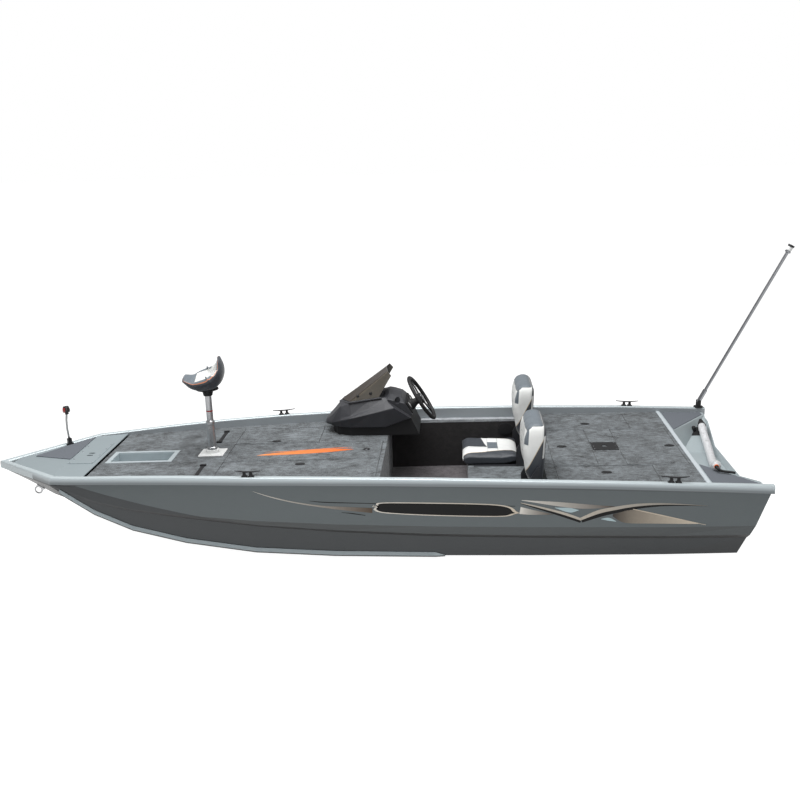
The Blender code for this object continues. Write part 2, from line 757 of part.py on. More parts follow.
def fore_deck():
    """The casting deck: panel, three lids, the liner below them and the recessed pedal tray."""
    outline = shifted(deck_outline(FORE_BULKHEAD_X, BOW_PLATE_X - 0.012), FORE_BULKHEAD_X)
    x0, x1, y0, y1 = TRAY
    tray_hole = box_mesh("tray_opening", (x0 + TRAY_RIM, y0 + TRAY_RIM, -0.1), (x1 - TRAY_RIM, y1 - TRAY_RIM, 0.1))
    deck, cutters = deck_with_lids("fore_deck", outline, FORE_LIDS, [tray_hole])
    port, centre, starboard = FORE_LIDS
    rim = LOCKER_RIM
    fore, aft, step = port[2] + rim, port[1] - rim, starboard[1] - rim
    port_y, starboard_y, centre_y = port[4] + rim, starboard[3] - rim, centre[3] - rim
    liner_outline = [
        (aft, centre_y), (aft, port_y), (fore, port_y), (fore, starboard_y), (step, starboard_y), (step, centre_y),
    ]
    liner, pockets = lockers("fore_lockers", FORE_LIDS, FORE_LOCKER_DEPTH, liner_outline)
    for item, meshes in ((deck, cutters), (liner, pockets)):
        item.parent = FORE
        cut(item, *meshes)
    for row in FORE_LIDS:
        deck_lid(row, FORE)
    pedal_tray()


def pedal_tray():
    """The light sheet tray let into the deck, with its rim on the carpet."""
    x0, x1, y0, y1 = TRAY
    rim = add_box("pedal_tray", (x0, y0, GAP), (x1, y1, GAP + TRAY_SHEET), TRIM_GREY, FORE)
    edge = TRAY_RIM + GAP * 3
    pan_low, pan_high = (x0 + edge, y0 + edge, -TRAY_DEPTH), (x1 - edge, y1 - edge, GAP + TRAY_SHEET / 2)
    pan = box_mesh("tray_pan", pan_low, pan_high)
    wall = TRAY_SHEET
    hollow = box_mesh(
        "tray_hollow", (pan_low[0] + wall, pan_low[1] + wall, -TRAY_DEPTH + wall),
        (pan_high[0] - wall, pan_high[1] - wall, 0.1),
    )
    cut(rim, pan, operation="UNION")
    cut(rim, hollow)
    return rim


def aft_deck():
    """The aft casting deck with its four lids, the liner below them and the bar across its aft edge."""
    outline = shifted(deck_outline(AFT_BAR_X + BAR_WIDTH + GAP, AFT_BULKHEAD_X), 0.0)
    deck, cutters = deck_with_lids("aft_deck", outline, AFT_LIDS)
    port, _, _, rear = AFT_LIDS
    rim = LOCKER_RIM
    aft, step, fore = rear[1] - rim, port[1] - rim, port[2] + rim
    inner, outer = rear[4] + rim, port[4] + rim
    half = [(aft, inner), (step, inner), (step, outer), (fore, outer)]
    liner_outline = half + [(x, -y) for x, y in reversed(half)]
    liner, pockets = lockers("aft_lockers", AFT_LIDS, AFT_LOCKER_DEPTH, liner_outline)
    for item, meshes in ((deck, cutters), (liner, pockets)):
        item.parent = AFT
        cut(item, *meshes)
    for row in AFT_LIDS:
        deck_lid(row, AFT)
    half = rail_inner(AFT_BAR_X + BAR_WIDTH / 2) - 0.001
    top = 0.006
    add_box(
        "aft_bar", (AFT_BAR_X, -half, -0.024), (AFT_BAR_X + BAR_WIDTH, half, top), TRIM_GREY, AFT, bevel=0.003,
    )


def deck_socket():
    """The flush seat socket plate on the aft deck, between the two centre lids."""
    x = (AFT_LIDS[3][2] + AFT_LIDS[2][1]) / 2
    half = PLATE_SIDE / 2
    item = add_box(
        "deck_socket", (-half, -half, GAP), (half, half, GAP + 0.004), BLACK, AFT, bevel=0.0015, location=(x, 0, 0),
    )
    cut(item, cylinder_mesh("socket_bore", 0.020, -0.05, 0.05))
    return item


def bulkhead(name, x, top):
    """An upright panel across the hull, with its outline from the inside of the plating."""
    station = x + BULKHEAD
    section = inner_section(station)
    step = min(top, rail_top(station) - RAIL_HEIGHT - RAIL_DROP - FIT)
    inner = rail_inner(station) - FIT
    half = [(inner, top), (inner, step)] if step < top else []
    half += [(inner_half_breadth(station, step) - FIT * 2, step)]
    half += [(y - FIT * 2, z + FIT) for y, z in section[1:-1]]
    half.append((0.0, section[-1][1] + FIT))
    ring = both_sides(half)
    rings = [[(x, y, z) for y, z in ring], [(x + BULKHEAD, y, z) for y, z in ring]]
    return place(loft_mesh(name, rings), name, CARPET, HULL)


def cockpit():
    """Bulkheads, floor, side liners and the carpeted box under the seats."""
    bulkhead("fore_bulkhead", FORE_BULKHEAD_X, FORE_DECK_Z - DECK_THICK - FIT)
    bulkhead("aft_bulkhead", AFT_BULKHEAD_X - BULKHEAD, AFT_DECK_Z - DECK_THICK - GAP)
    x0, x1 = AFT_BULKHEAD_X + GAP, FORE_BULKHEAD_X - GAP * 2
    stations = [x0, 1.40, 2.00, x1]
    under = FLOOR_Z - FLOOR_THICK
    port = [(x, inner_half_breadth(x, under) - FIT * 2) for x in stations]
    outline = port + [(x, -y) for x, y in reversed(port)]
    place(outline_mesh("cockpit_floor", outline, under, FLOOR_Z), "cockpit_floor", DARK_CARPET, HULL)
    for side in (1, -1):
        side_liner(side, stations)
    half = inner_half_breadth(BOX_FRONT_X, FLOOR_Z) - LINER - FIT * 4
    seat_box = add_box(
        "seat_box", (x0 + GAP, -half, FLOOR_Z + GAP), (BOX_FRONT_X, half, BOX_TOP_Z), CARPET, HULL, bevel=0.006,
    )
    return seat_box


def side_liner(side, stations):
    """A carpeted board up the cockpit side from the floor, turned outwards into a shelf under the gunwale."""
    rings = []
    for x in stations:
        low = FLOOR_Z + GAP
        out = inner_half_breadth(x, low) - FIT * 2
        top = rail_top(x) - RAIL_HEIGHT - RAIL_DROP - FIT
        shelf = rail_inner(x) + RAIL_FLANGE * 2
        ring = [
            (x, out, low), (x, out - LINER, low), (x, out - LINER, top), (x, shelf, top), (x, shelf, top - LINER),
            (x, out, top - LINER),
        ]
        rings.append([(px, side * py, pz) for px, py, pz in ring])
    name = "side_liner_port" if side > 0 else "side_liner_starboard"
    return place(loft_mesh(name, rings), name, DARK_CARPET, HULL)


def well_corners(side):
    """The corners of the splashwell's wing, slope and floor on one side of the boat."""
    fore_x = AFT_BAR_X - WELL_SHEET - GAP
    clear = PLATE * 1.06 + 0.003
    deck_x = transom_x(WELL_DECK_Z, clear)
    floor_x = transom_x(WELL_FLOOR_Z, clear)
    outer = min(rail_inner(fore_x), rail_inner(0.05)) - GAP * 2
    return {
        "fore_in": (fore_x, side * (WELL_HALF + 0.050), WELL_DECK_Z),
        "fore_out": (fore_x, side * outer, WELL_DECK_Z),
        "aft_out": (deck_x, side * outer, WELL_DECK_Z),
        "aft_in": (deck_x, side * WELL_AFT_HALF, WELL_DECK_Z),
        "floor_fore": (0.270, side * WELL_HALF, WELL_FLOOR_Z),
        "floor_aft": (floor_x, side * WELL_HALF, WELL_FLOOR_Z),
    }


def splashwell():
    """The sheet between the quarters: two level wings, sloping sides and a low floor to the motor notch."""
    mesh = bpy.data.meshes.new("splashwell")
    bm = bmesh.new()
    corners = {}
    for side in (1, -1):
        corners[side] = {name: bm.verts.new(point) for name, point in well_corners(side).items()}
    for side in (1, -1):
        c = corners[side]
        order = slice(None, None, side)
        bm.faces.new([c["fore_in"], c["fore_out"], c["aft_out"], c["aft_in"]][order])
        bm.faces.new([c["fore_in"], c["aft_in"], c["floor_fore"]][order])
        bm.faces.new([c["aft_in"], c["floor_aft"], c["floor_fore"]][order])
    port, starboard = corners[1], corners[-1]
    bm.faces.new([starboard["fore_in"], port["fore_in"], port["floor_fore"], starboard["floor_fore"]])
    bm.faces.new([port["floor_fore"], port["floor_aft"], starboard["floor_aft"], starboard["floor_fore"]])
    bmesh.ops.recalc_face_normals(bm, faces=bm.faces)
    if max(bm.faces, key=lambda face: face.calc_area()).normal.z < 0:
        bmesh.ops.reverse_faces(bm, faces=bm.faces)
    bm.to_mesh(mesh)
    bm.free()
    item = place(mesh, "splashwell", TRIM_GREY, HULL)
    sheet = item.modifiers.new("sheet", "SOLIDIFY")
    sheet.thickness = WELL_SHEET
    sheet.offset = -1.0
    return item


def transom_mats():
    """The foam mats on the wings of the splashwell."""
    z = WELL_DECK_Z + GAP
    outer = rail_inner(0.05) - 0.010
    for side, name in ((1, "transom_mat_port"), (-1, "transom_mat_starboard")):
        points = [(0.322, side * 0.405), (0.322, side * outer), (0.040, side * outer), (0.040, side * WELL_AFT_HALF)]
        place(outline_mesh(name, points, z, z + 0.0035), name, MAT_GREY, HULL)


# Deck hardware


def cleat(name, x, side):
    """A horn cleat bolted on the gunwale: two feet, two legs and a bar with rising ends."""
    z = rail_top(x) + GAP
    angle = math.atan2(rail_inner(x + 0.1) - rail_inner(x - 0.1), 0.2)
    half_length, height = 0.082, 0.036
    rings = []
    for share in (-1.0, -0.7, -0.35, 0.0, 0.35, 0.7, 1.0):
        along = share * half_length
        wide = 0.0085 * (1 - 0.62 * abs(share) ** 2)
        tall = 0.0050 * (1 - 0.45 * abs(share))
        mid = height - tall + 0.004 * abs(share) ** 2
        ring = [
            (along, wide * math.cos(a), mid + tall * math.sin(a))
            for a in (2 * math.pi * k / 8 for k in range(8))
        ]
        rings.append(ring)
    y = rail_inner(x) + RAIL_WIDTH / 2
    where = {"location": (x, side * y, z), "rotation": (0, rail_pitch(x), side * angle)}
    item = place(loft_mesh(name, rings), name, BLACK, HULL, **where)
    legs = []
    for end in (-1, 1):
        along = end * 0.021
        leg = []
        for level, long, wide in ((0.0, 0.019, 0.012), (0.004, 0.018, 0.0115), (0.012, 0.009, 0.0065), (0.034, 0.0075, 0.006)):
            leg.append([(along + sx * long, sy * wide, level) for sx, sy in ((-1, -1), (1, -1), (1, 1), (-1, 1))])
        legs.append(loft_mesh(name + "_leg", leg))
    cut(item, *legs, operation="UNION")
    return item


def rod_strap(name, side):
    """An elastic strap held flat on the deck by a clip at each end."""
    x = POST_X - FORE_BULKHEAD_X + (0.003 if side > 0 else 0.010)
    inner, outer = (0.285, 0.545) if side > 0 else (0.255, 0.520)
    item = add_box(
        name, (x - 0.012, min(side * inner, side * outer), GAP), (x + 0.012, max(side * inner, side * outer), 0.004),
        BLACK, FORE,
    )
    ends = [
        box_mesh(name + "_clip", (x - 0.019, side * y - 0.012, GAP), (x + 0.019, side * y + 0.012, 0.010))
        for y in (inner, outer)
    ]
    cut(item, *ends, operation="UNION")
    return item


# Bow seat


def bow_seat():
    """A deck plate, a two-part post, a swivel and a bucket seat on it, turned a little to port."""
    x = POST_X - FORE_BULKHEAD_X
    half = PLATE_SIDE / 2
    plate = add_box(
        "post_plate", (-half, -half, GAP), (half, half, GAP + PLATE_THICK), WHITE, FORE, bevel=0.004,
        location=(x, 0, 0),
    )
    cut(plate, cylinder_mesh("post_boss", 0.045, PLATE_THICK / 2, 0.030), operation="UNION")
    base = PLATE_THICK + 0.022 + GAP * 2
    turned(
        "seat_post",
        [(0.0, POST_TOP), (0.0225, POST_TOP), (0.0225, 0.235), (0.0295, 0.225), (0.0295, 0.205),
         (POST_RADIUS, 0.200), (POST_RADIUS, 0.050), (0.034, 0.045), (0.034, base), (0.0, base)],
        METAL, FORE, location=(x, 0, 0),
    )
    swivel = add_frame("bow_seat_axis", FORE, (x, 0, POST_TOP + GAP), (0, 0, BOW_SEAT_TURN))
    mount = turned(
        "seat_swivel",
        [(0.0, SWIVEL_TOP), (0.070, SWIVEL_TOP), (0.074, SWIVEL_TOP - 0.005), (0.074, SWIVEL_TOP - 0.010),
         (0.036, SWIVEL_TOP - 0.022), (0.030, 0.0), (0.0, 0.0)],
        BLACK, swivel,
    )
    # The shell's outside along the middle, from the front lip under the pan and up the back:
    # x, z, half breadth, rise of the rim, thickness of the pad
    spine = [
        (0.160, 0.112, 0.105, 0.030, 0.024),
        (0.112, 0.066, 0.155, 0.072, 0.036),
        (0.050, 0.0445, 0.178, 0.098, 0.040),
        (-0.030, 0.0445, 0.182, 0.106, 0.040),
        (-0.090, 0.078, 0.176, 0.092, 0.038),
        (-0.120, 0.140, 0.164, 0.064, 0.034),
        (-0.122, 0.198, 0.146, 0.042, 0.030),
        (-0.104, 0.246, 0.112, 0.022, 0.022),
    ]
    points = [Vector((row[0], row[1])) for row in spine]
    rings = []
    for i, (along, low, wide, rim, pad) in enumerate(spine):
        run = (points[min(i + 1, len(points) - 1)] - points[max(i - 1, 0)]).normalized()
        out = Vector((run.y, -run.x))
        section = [(0.0, 0.0), (0.62, 0.16 * rim), (1.0, 0.62 * rim), (0.93, rim), (0.66, pad + 0.30 * rim), (0.0, pad)]
        half_ring = [(along + out.x * lift, share * wide, low + out.y * lift) for share, lift in section]
        rings.append(half_ring + [(px, -py, pz) for px, py, pz in reversed(half_ring[1:-1])])
    seat = place(loft_mesh("bow_seat", rings), "bow_seat", VINYL, swivel)
    smooth(seat, 1)
    return mount


# Helm


def cowl_top(x, offset):
    """The height of the cowl's upper surface at a station, an offset from the console's middle."""
    rows = sorted(COWL)
    top_y, top_z, ridge_z = (table_at(rows, x, column) for column in (7, 8, 9))
    return lerp(ridge_z, top_z, min(abs(offset) / top_y, 1.0))


def slab(name, profile, low, high):
    """A profile in x and z, extruded along y from low to high."""
    return loft_mesh(name, [[(x, low, z) for x, z in profile], [(x, high, z) for x, z in profile]])


def rounded(mesh, width, segments=2):
    """The same mesh with all its edges rounded."""
    bm = bmesh.new()
    bm.from_mesh(mesh)
    bmesh.ops.bevel(bm, geom=bm.edges[:], offset=width, segments=segments, profile=0.5, affect="EDGES")
    bmesh.ops.recalc_face_normals(bm, faces=bm.faces)
    bm.to_mesh(mesh)
    bm.free()
    return mesh


def console():
    """The moulded side console: a plinth with its knee panel, and a faceted cowl with the dash's pod behind it."""
    foot_x, foot_z = COWL_END[2]
    toe_x = COWL_END[3][0] + 0.004
    under = COWL[1][2] - GAP
    rings = [
        [(x, CONSOLE_Y - half, GAP), (x, CONSOLE_Y - half, under), (x, CONSOLE_Y + half, under),
         (x, CONSOLE_Y + half, GAP)]
        for x, half in PLINTH
    ]
    knee = PLINTH[-1][1]
    rings.append([
        (toe_x, CONSOLE_Y - knee, GAP), (foot_x, CONSOLE_Y - knee, foot_z - GAP * 4),
        (foot_x, CONSOLE_Y + knee, foot_z - GAP * 4), (toe_x, CONSOLE_Y + knee, GAP),
    ])
    base = place(loft_mesh("console_base", rings), "console_base", BLACK, FORE)

    rings = []
    for x, *pairs, ridge in COWL:
        half = list(zip(pairs[0::2], pairs[1::2]))
        ring = half + [(0.0, ridge)] + [(-y, z) for y, z in reversed(half)]
        rings.append([(x, CONSOLE_Y + y, z) for y, z in ring])
    cowl = place(loft_mesh("console_cowl", rings), "console_cowl", CONSOLE, FORE)
    round_edges(cowl, 0.005, 2, 20)
    behind = [(COWL_END[0][0], 0.50)] + COWL_END + [(-0.30, -0.05), (-0.40, 0.50)]
    cut(cowl, slab("cowl_end", behind, -1.0, 0.0))
    dash_run = (POD[-1][0] - DASH_FOOT_X) / (POD[-1][1] - DASH_FOOT_Z)
    rings = []
    for share, fall in ((-1.0, 1.0), (-0.62, 0.22), (0.0, 0.0), (0.62, 0.22), (1.0, 1.0)):
        ring = [(x, z - drop * fall) for x, z, drop in POD]
        # the dash stays one plane, so its head slides down along it
        ring[-1] = (POD[-1][0] - POD[-1][2] * fall * dash_run, ring[-1][1])
        ring += [(DASH_FOOT_X, DASH_FOOT_Z), (foot_x + 0.004, foot_z + 0.003), (0.0, POD[0][1])]
        rings.append([(x, CONSOLE_Y + share * POD_HALF, z) for x, z in ring])
    pod = rounded(loft_mesh("pod", rings), 0.004)
    ridge = tube_mesh("screen_ridge", ridge_path(), RIDGE)
    cut(cowl, pod, ridge, operation="UNION")
    x, z, radius = POD_ARCH
    arch = cylinder_mesh("pod_arch", radius, 0.0, 0.10, 24)
    arch.transform(Matrix.Rotation(math.pi / 2, 4, "X"))
    arch.transform(Matrix.Translation((x, CONSOLE_Y + POD_HALF + 0.05, z)))
    cut(cowl, arch)
    return base


def ridge_path():
    """The raised ridge round the outside of the windscreen's foot, half sunk in the cowl."""
    out = RIDGE + SCREEN_THICK / 2 + GAP * 4
    half = [(x + (out if not y else out * 0.6), y + (out if y else 0.0)) for x, y in SCREEN_FOOT]
    half[-1] = (SCREEN_FOOT[-1][0] - 0.020, half[-1][1])
    path = [(x, y) for x, y in reversed(half)] + [(x, -y) for x, y in half[1:]]
    return [(x, CONSOLE_Y + y, cowl_top(x, y) + 0.001) for x, y in path]


def dash_frame():
    """The frame of the dash: its z axis is the steering axis, its origin lies on the cowl's raked face."""
    where = (DASH_FOOT_X + HELM_RISE * math.tan(DASH_TILT), HELM_Y, DASH_FOOT_Z + HELM_RISE)
    return add_frame("dash_frame", FORE, where, (0, -(math.pi / 2 - DASH_TILT), 0))


def steering():
    """The dash panel, the tilt column and the three-spoke wheel."""
    frame = dash_frame()
    margin = 0.017
    low_y, high_y = CONSOLE_Y - POD_HALF + margin - HELM_Y, CONSOLE_Y + POD_HALF - margin - HELM_Y
    foot = -HELM_RISE / math.cos(DASH_TILT) + margin / 2
    head = (POD[-1][1] - POD[-1][2] - DASH_FOOT_Z - HELM_RISE) / math.cos(DASH_TILT) - margin / 4
    panel = add_box(
        "dash_panel", (foot, low_y, GAP), (head, high_y, PANEL_THICK), BLACK, frame, bevel=0.003,
    )
    top = DASH_TO_WHEEL - WHEEL_HUB - FIT
    turned(
        "steering_column",
        [(0.0, top), (0.021, top), (0.024, top - 0.012), (0.028, 0.046), (0.036, 0.030),
         (0.040, 0.014), (0.040, PANEL_THICK + GAP), (0.0, PANEL_THICK + GAP)],
        BLACK, frame, sides=20,
    )
    axis = add_frame("wheel_axis", frame, (0, 0, DASH_TO_WHEEL))
    wheel = place(
        ring_mesh("steering_wheel", WHEEL_RADIUS - RIM_RADIUS, RIM_RADIUS, 40, 10), "steering_wheel", BLACK, axis,
    )
    hub = cylinder_mesh("wheel_hub", 0.040, -WHEEL_HUB, 0.006, 24)
    spokes = []
    for turn in (90, 210, 330):
        spoke = box_mesh("wheel_spoke", (0.030, -0.014, -0.010), (WHEEL_RADIUS - RIM_RADIUS, 0.014, -0.002))
        spoke.transform(Matrix.Rotation(math.radians(turn), 4, "Z"))
        spokes.append(spoke)
    cut(wheel, hub, *spokes, operation="UNION")
    return panel


def chamfered(path, share=0.12):
    """A path with each inner corner cut back to three points, a share of the way along its legs."""
    points = [Vector(p) for p in path]
    result = [points[0]]
    for before, here, after in zip(points, points[1:], points[2:]):
        near, far = here.lerp(before, share), here.lerp(after, share)
        result += [near, here.lerp((near + far) / 2, 0.5), far]
    return result + [points[-1]]


def windscreen():
    """A bent tinted sheet inside the cowl's ridge: a raked front with a wing folded back on each side."""
    stand = SCREEN_THICK * 0.8
    foot = [(x, y, 0.0) for x, y in reversed(SCREEN_FOOT)] + [(x, -y, 0.0) for x, y in SCREEN_FOOT[1:]]
    top = list(reversed(SCREEN_TOP)) + [(x, -y, z) for x, y, z in SCREEN_TOP[1:]]
    foot, top = chamfered(foot), chamfered(top)
    for point in foot:
        point.z = cowl_top(point.x, point.y) + stand
    mesh = bpy.data.meshes.new("windscreen")
    bm = bmesh.new()
    rows = []
    for share in (0.0, 0.35, 0.7, 1.0):
        line = [low.lerp(high, share) for low, high in zip(foot, top)]
        rows.append([bm.verts.new((p.x, CONSOLE_Y + p.y, p.z)) for p in line])
    for low, high in zip(rows, rows[1:]):
        for i in range(len(low) - 1):
            bm.faces.new((low[i], low[i + 1], high[i + 1], high[i]))
    bmesh.ops.recalc_face_normals(bm, faces=bm.faces)
    bm.to_mesh(mesh)
    bm.free()
    item = place(mesh, "windscreen", TINT, FORE)
    sheet = item.modifiers.new("sheet", "SOLIDIFY")
    sheet.thickness = SCREEN_THICK
    sheet.offset = 0.0
    sheet.use_even_offset = True
    return item


def seat(side):
    """A helm seat: cushion on the box, two hinge brackets as one piece, and a back that folds forward."""
    suffix = "port" if side > 0 else "starboard"
    y = side * SEAT_Y
    half = SEAT_WIDTH / 2
    base = BOX_TOP_Z + SEAT_PLATE
    top = base + CUSHION_THICK
    # the cushion's side, from its rear foot round under the front roll: x, z
    profile = [
        (SEAT_REAR_X, base + 0.030), (SEAT_REAR_X, top - 0.020), (SEAT_REAR_X + 0.030, top - 0.006),
        (SEAT_FRONT_X - 0.110, top), (SEAT_FRONT_X - 0.035, top + 0.006), (SEAT_FRONT_X - 0.004, top - 0.018),
        (SEAT_FRONT_X, top - 0.045), (SEAT_FRONT_X - 0.028, base), (SEAT_REAR_X + 0.110, base),
    ]
    cushion = place(
        slab("seat_cushion", profile, -half, half), "seat_cushion_" + suffix, VINYL, HULL, location=(0, y, 0),
    )
    round_edges(cushion, 0.012, 2, 30)
    plate_top = base - GAP
    hinge_y = half + 0.008
    bracket = add_box(
        "seat_bracket_" + suffix, (SEAT_REAR_X - 0.030, -hinge_y - 0.006, BOX_TOP_Z + GAP),
        (SEAT_FRONT_X - 0.090, hinge_y + 0.006, plate_top), BLACK, HULL, location=(0, y, 0),
    )
    ears = []
    for edge in (-1, 1):
        inner, outer = sorted((edge * (half + 0.002), edge * (half + 0.014)))
        ear = [
            (SEAT_HINGE_X - 0.022, BOX_TOP_Z + GAP * 2), (SEAT_HINGE_X + 0.050, BOX_TOP_Z + GAP * 2),
            (SEAT_HINGE_X + 0.050, 0.470), (SEAT_HINGE_X + 0.022, 0.520), (SEAT_HINGE_X + 0.022, SEAT_HINGE_Z + 0.018),
            (SEAT_HINGE_X - 0.020, SEAT_HINGE_Z + 0.085), (SEAT_HINGE_X - 0.034, SEAT_HINGE_Z + 0.085),
        ]
        ears.append(slab("seat_ear", ear, inner, outer))
        pin = cylinder_mesh("seat_pin", 0.011, half - 0.005 + GAP, half + 0.006, 16)
        pin.transform(Matrix.Rotation(-edge * math.pi / 2, 4, "X"))
        pin.transform(Matrix.Translation((SEAT_HINGE_X, 0, SEAT_HINGE_Z)))
        ears.append(pin)
    cut(bracket, *ears, operation="UNION")

    axis = add_frame("seat_axis_" + suffix, HULL, (SEAT_HINGE_X, y, SEAT_HINGE_Z))
    lean = math.radians(4.0)
    waist = half - 0.005
    high = BACK_TOP_Z - SEAT_HINGE_Z
    # height, forward face, aft face, half width
    stations = [
        (-0.055, 0.000, -0.034, waist - 0.030),
        (-0.025, 0.018, -0.050, waist),
        (0.055, 0.046, -0.056, waist),
        (0.170, 0.064, -0.056, waist),
        (0.265, 0.066, -0.054, waist - 0.003),
        (high - 0.025, 0.058, -0.048, waist - 0.018),
        (high, 0.026, -0.016, waist - 0.050),
    ]
    rings = []
    for z, front, rear, wide in stations:
        shift = -math.tan(lean) * z
        rings.append([
            (front + shift, -wide * 0.80, z), (front + shift, wide * 0.80, z), (front - 0.018 + shift, wide, z),
            (rear + 0.012 + shift, wide, z), (rear + shift, wide * 0.85, z), (rear + shift, -wide * 0.85, z),
            (rear + 0.012 + shift, -wide, z), (front - 0.018 + shift, -wide, z),
        ])
    back = place(loft_mesh("seat_back_" + suffix, rings), "seat_back_" + suffix, VINYL, axis)
    round_edges(back, 0.008, 2, 30)
    return back


def side_recess():
    """The oval black recess plate on the starboard cockpit side, abreast of the helm seat."""
    x = 1.478
    wall = [inner_half_breadth(at, FLOOR_Z) for at in (1.40, 2.00)]
    turn = math.atan2(wall[0] - wall[1], 0.60)
    y = lerp(wall[0], wall[1], (x - 1.40) / 0.60) - FIT * 2 - LINER - GAP * 2
    mesh = cylinder_mesh("side_recess", 0.044, 0.0, 0.010, 28)
    mesh.transform(Matrix.Diagonal((1.25, 1.0, 1.0, 1.0)))
    return place(
        mesh, "side_recess", BLACK, HULL, location=(x, -y, 0.475), rotation=(-math.pi / 2, 0, turn),
    )


# Lights and rigging


def stern_light():
    """A folding pole light: a base on the starboard quarter and a raked pole with its lamp head."""
    x, y = 0.045, -(rail_inner(0.045) + RAIL_WIDTH / 2)
    z = rail_top(0.045) + 0.0008
    base = place(
        cylinder_mesh("stern_light_base", 0.034, 0.0, 0.008, 24), "stern_light_base", METAL, HULL,
        location=(x, y, z), rotation=(0, rail_pitch(x), 0),
    )
    ears = [
        box_mesh("light_ear", (-0.014, edge - 0.0035, 0.004), (0.014, edge + 0.0035, 0.052)) for edge in (-0.0203, 0.0203)
    ]
    cut(base, *ears, operation="UNION")
    axis = add_frame("stern_light_axis", HULL, (x, y, z + 0.040), (0, -POLE_RAKE, 0))
    head = POLE_LENGTH
    pole = turned(
        "stern_light_pole",
        [(0.0, head), (0.020, head - 0.002), (0.023, head - 0.010), (0.023, head - 0.016), (0.017, head - 0.018),
         (0.017, head - 0.048), (0.021, head - 0.050), (0.021, head - 0.060), (POLE_RADIUS, head - 0.064),
         (POLE_RADIUS, 0.105), (0.0165, 0.100), (0.0165, 0.018), (0.0150, 0.006), (0.010, -0.006), (0.0, -0.008)],
        METAL, axis, sides=16,
    )
    return pole


def bow_light(nose):
    """A plug-in light on the starboard shoulder: clamp bracket, bent stem and lamp head."""
    x, y = BOW_LIGHT
    edge = math.atan2(SECTIONS[-1][1], LENGTH - SHOULDER_X)
    item = add_box(
        "bow_light", (-0.024, -0.011, GAP), (0.024, 0.011, 0.012), BLACK, nose, bevel=0.002,
        location=(x - SHOULDER_X, y, 0), rotation=(0, 0, edge),
    )
    clamp = box_mesh("light_clamp", (-0.014, -0.012, 0.008), (0.014, 0.012, 0.048))
    stem = tube_mesh("light_stem", [(0, 0, 0.030), (0.002, 0, 0.120), (-0.004, 0, 0.180), (-0.016, 0, 0.235)], 0.0075)
    neck = cylinder_mesh("light_neck", 0.013, 0.222, 0.245, 16)
    neck.transform(Matrix.Translation((-0.016, 0, 0)))
    lamp = cylinder_mesh("light_lamp", 0.025, 0.238, 0.278, 20, 0.020)
    lamp.transform(Matrix.Translation((-0.016, 0, 0)))
    cut(item, clamp, stem, neck, lamp, operation="UNION")
    return item


def smooth_route(points, spacing):
    """Points about a spacing apart along a Catmull-Rom curve through the route's own points."""
    route = [Vector(p) for p in points]
    ends = [route[0] * 2 - route[1]] + route + [route[-1] * 2 - route[-2]]
    result = []
    for i in range(1, len(ends) - 2):
        a, b, c, d = ends[i - 1 : i + 3]
        steps = max(1, round((c - b).length / spacing))
        for k in range(steps):
            t = k / steps
            result.append(
                0.5 * (2 * b + (c - a) * t + (2 * a - 5 * b + 4 * c - d) * t * t + (3 * b - a - 3 * c + d) * t ** 3)
            )
    result.append(route[-1])
    return result


def rigging():
    """Two rubber boots on the splashwell's starboard slope, the wrapped hose that lies across the well from
    one of them, and the capped cable at its end."""
    rise, run = WELL_DECK_Z - WELL_FLOOR_Z, WELL_AFT_HALF - WELL_HALF
    slope = math.atan2(rise, run)
    frame = add_frame("boot_frame", HULL, (0, -WELL_HALF, WELL_FLOOR_Z), (-slope, 0, 0))
    up = Matrix.Rotation(slope, 4, "X")
    (x0, y0, radius), (x1, y1, height) = BOOTS
    out = [(abs(y) - WELL_HALF) / math.cos(slope) for y in (y0, y1)]
    flange = add_box(
        "rigging_boot", (x1 - 0.045, -out[0] - 0.045, GAP), (x0 + 0.036, -out[0] + 0.062, 0.005), BLACK, frame, bevel=0.0015,
    )
    small = cylinder_mesh("small_boot", radius, 0.002, 0.034, 20, radius * 0.62)
    small.transform(Matrix.Translation((x0, -out[0], 0)))
    stub = cylinder_mesh("boot_stub", 0.020, 0.002, height, 20)
    stub.transform(Matrix.Translation((x1, -out[1] - 0.024, 0)))
    to_frame = frame_matrix(frame).inverted()
    route = [Vector(point) for point in HOSE_ROUTE]
    back = (route[0] - route[1]).normalized()
    horn = cylinder_mesh("boot_horn", HOSE_RADIUS + 0.004, GAP * 2, HORN_LENGTH, 20, 0.012)
    horn.transform(Matrix.Translation(route[0]) @ back.to_track_quat("Z", "Y").to_matrix().to_4x4())
    horn.transform(to_frame)
    cut(flange, small, stub, horn, operation="UNION")
    corners = well_corners(-1)
    face = [Vector(corners[name]) for name in ("fore_in", "aft_in", "floor_fore")]
    normal = (face[1] - face[0]).cross(face[2] - face[0]).normalized()
    if normal.z < 0:
        normal = -normal
    middle = sum(face, Vector()) / 3
    near = [middle + (point - middle) * 1.3 + normal * GAP for point in face]
    under = loft_mesh("under_slope", [near, [point - normal * 0.06 for point in near]])
    under.transform(to_frame)
    cut(flange, under)

    points = smooth_route(HOSE_ROUTE, HOSE_RADIUS * 2.5)
    place(tube_mesh("rigging_hose", points, HOSE_RADIUS, 3), "rigging_hose", FILM, HULL)
    along = (route[-1] - route[-2]).normalized()
    head = [route[-1] + along * GAP * 2, route[-1] + along * 0.018]
    plug = place(
        tube_mesh("rigging_plug", smooth_route(head + PLUG_ROUTE, 0.012), PLUG_RADIUS), "rigging_plug", BLACK, HULL,
    )
    cut(plug, tube_mesh("plug_cap", head, PLUG_RADIUS + 0.005), operation="UNION")
    return flange


def frame_matrix(frame):
    """An empty's place in its parent's frame."""
    return Matrix.LocRotScale(frame.location, frame.rotation_euler, None)


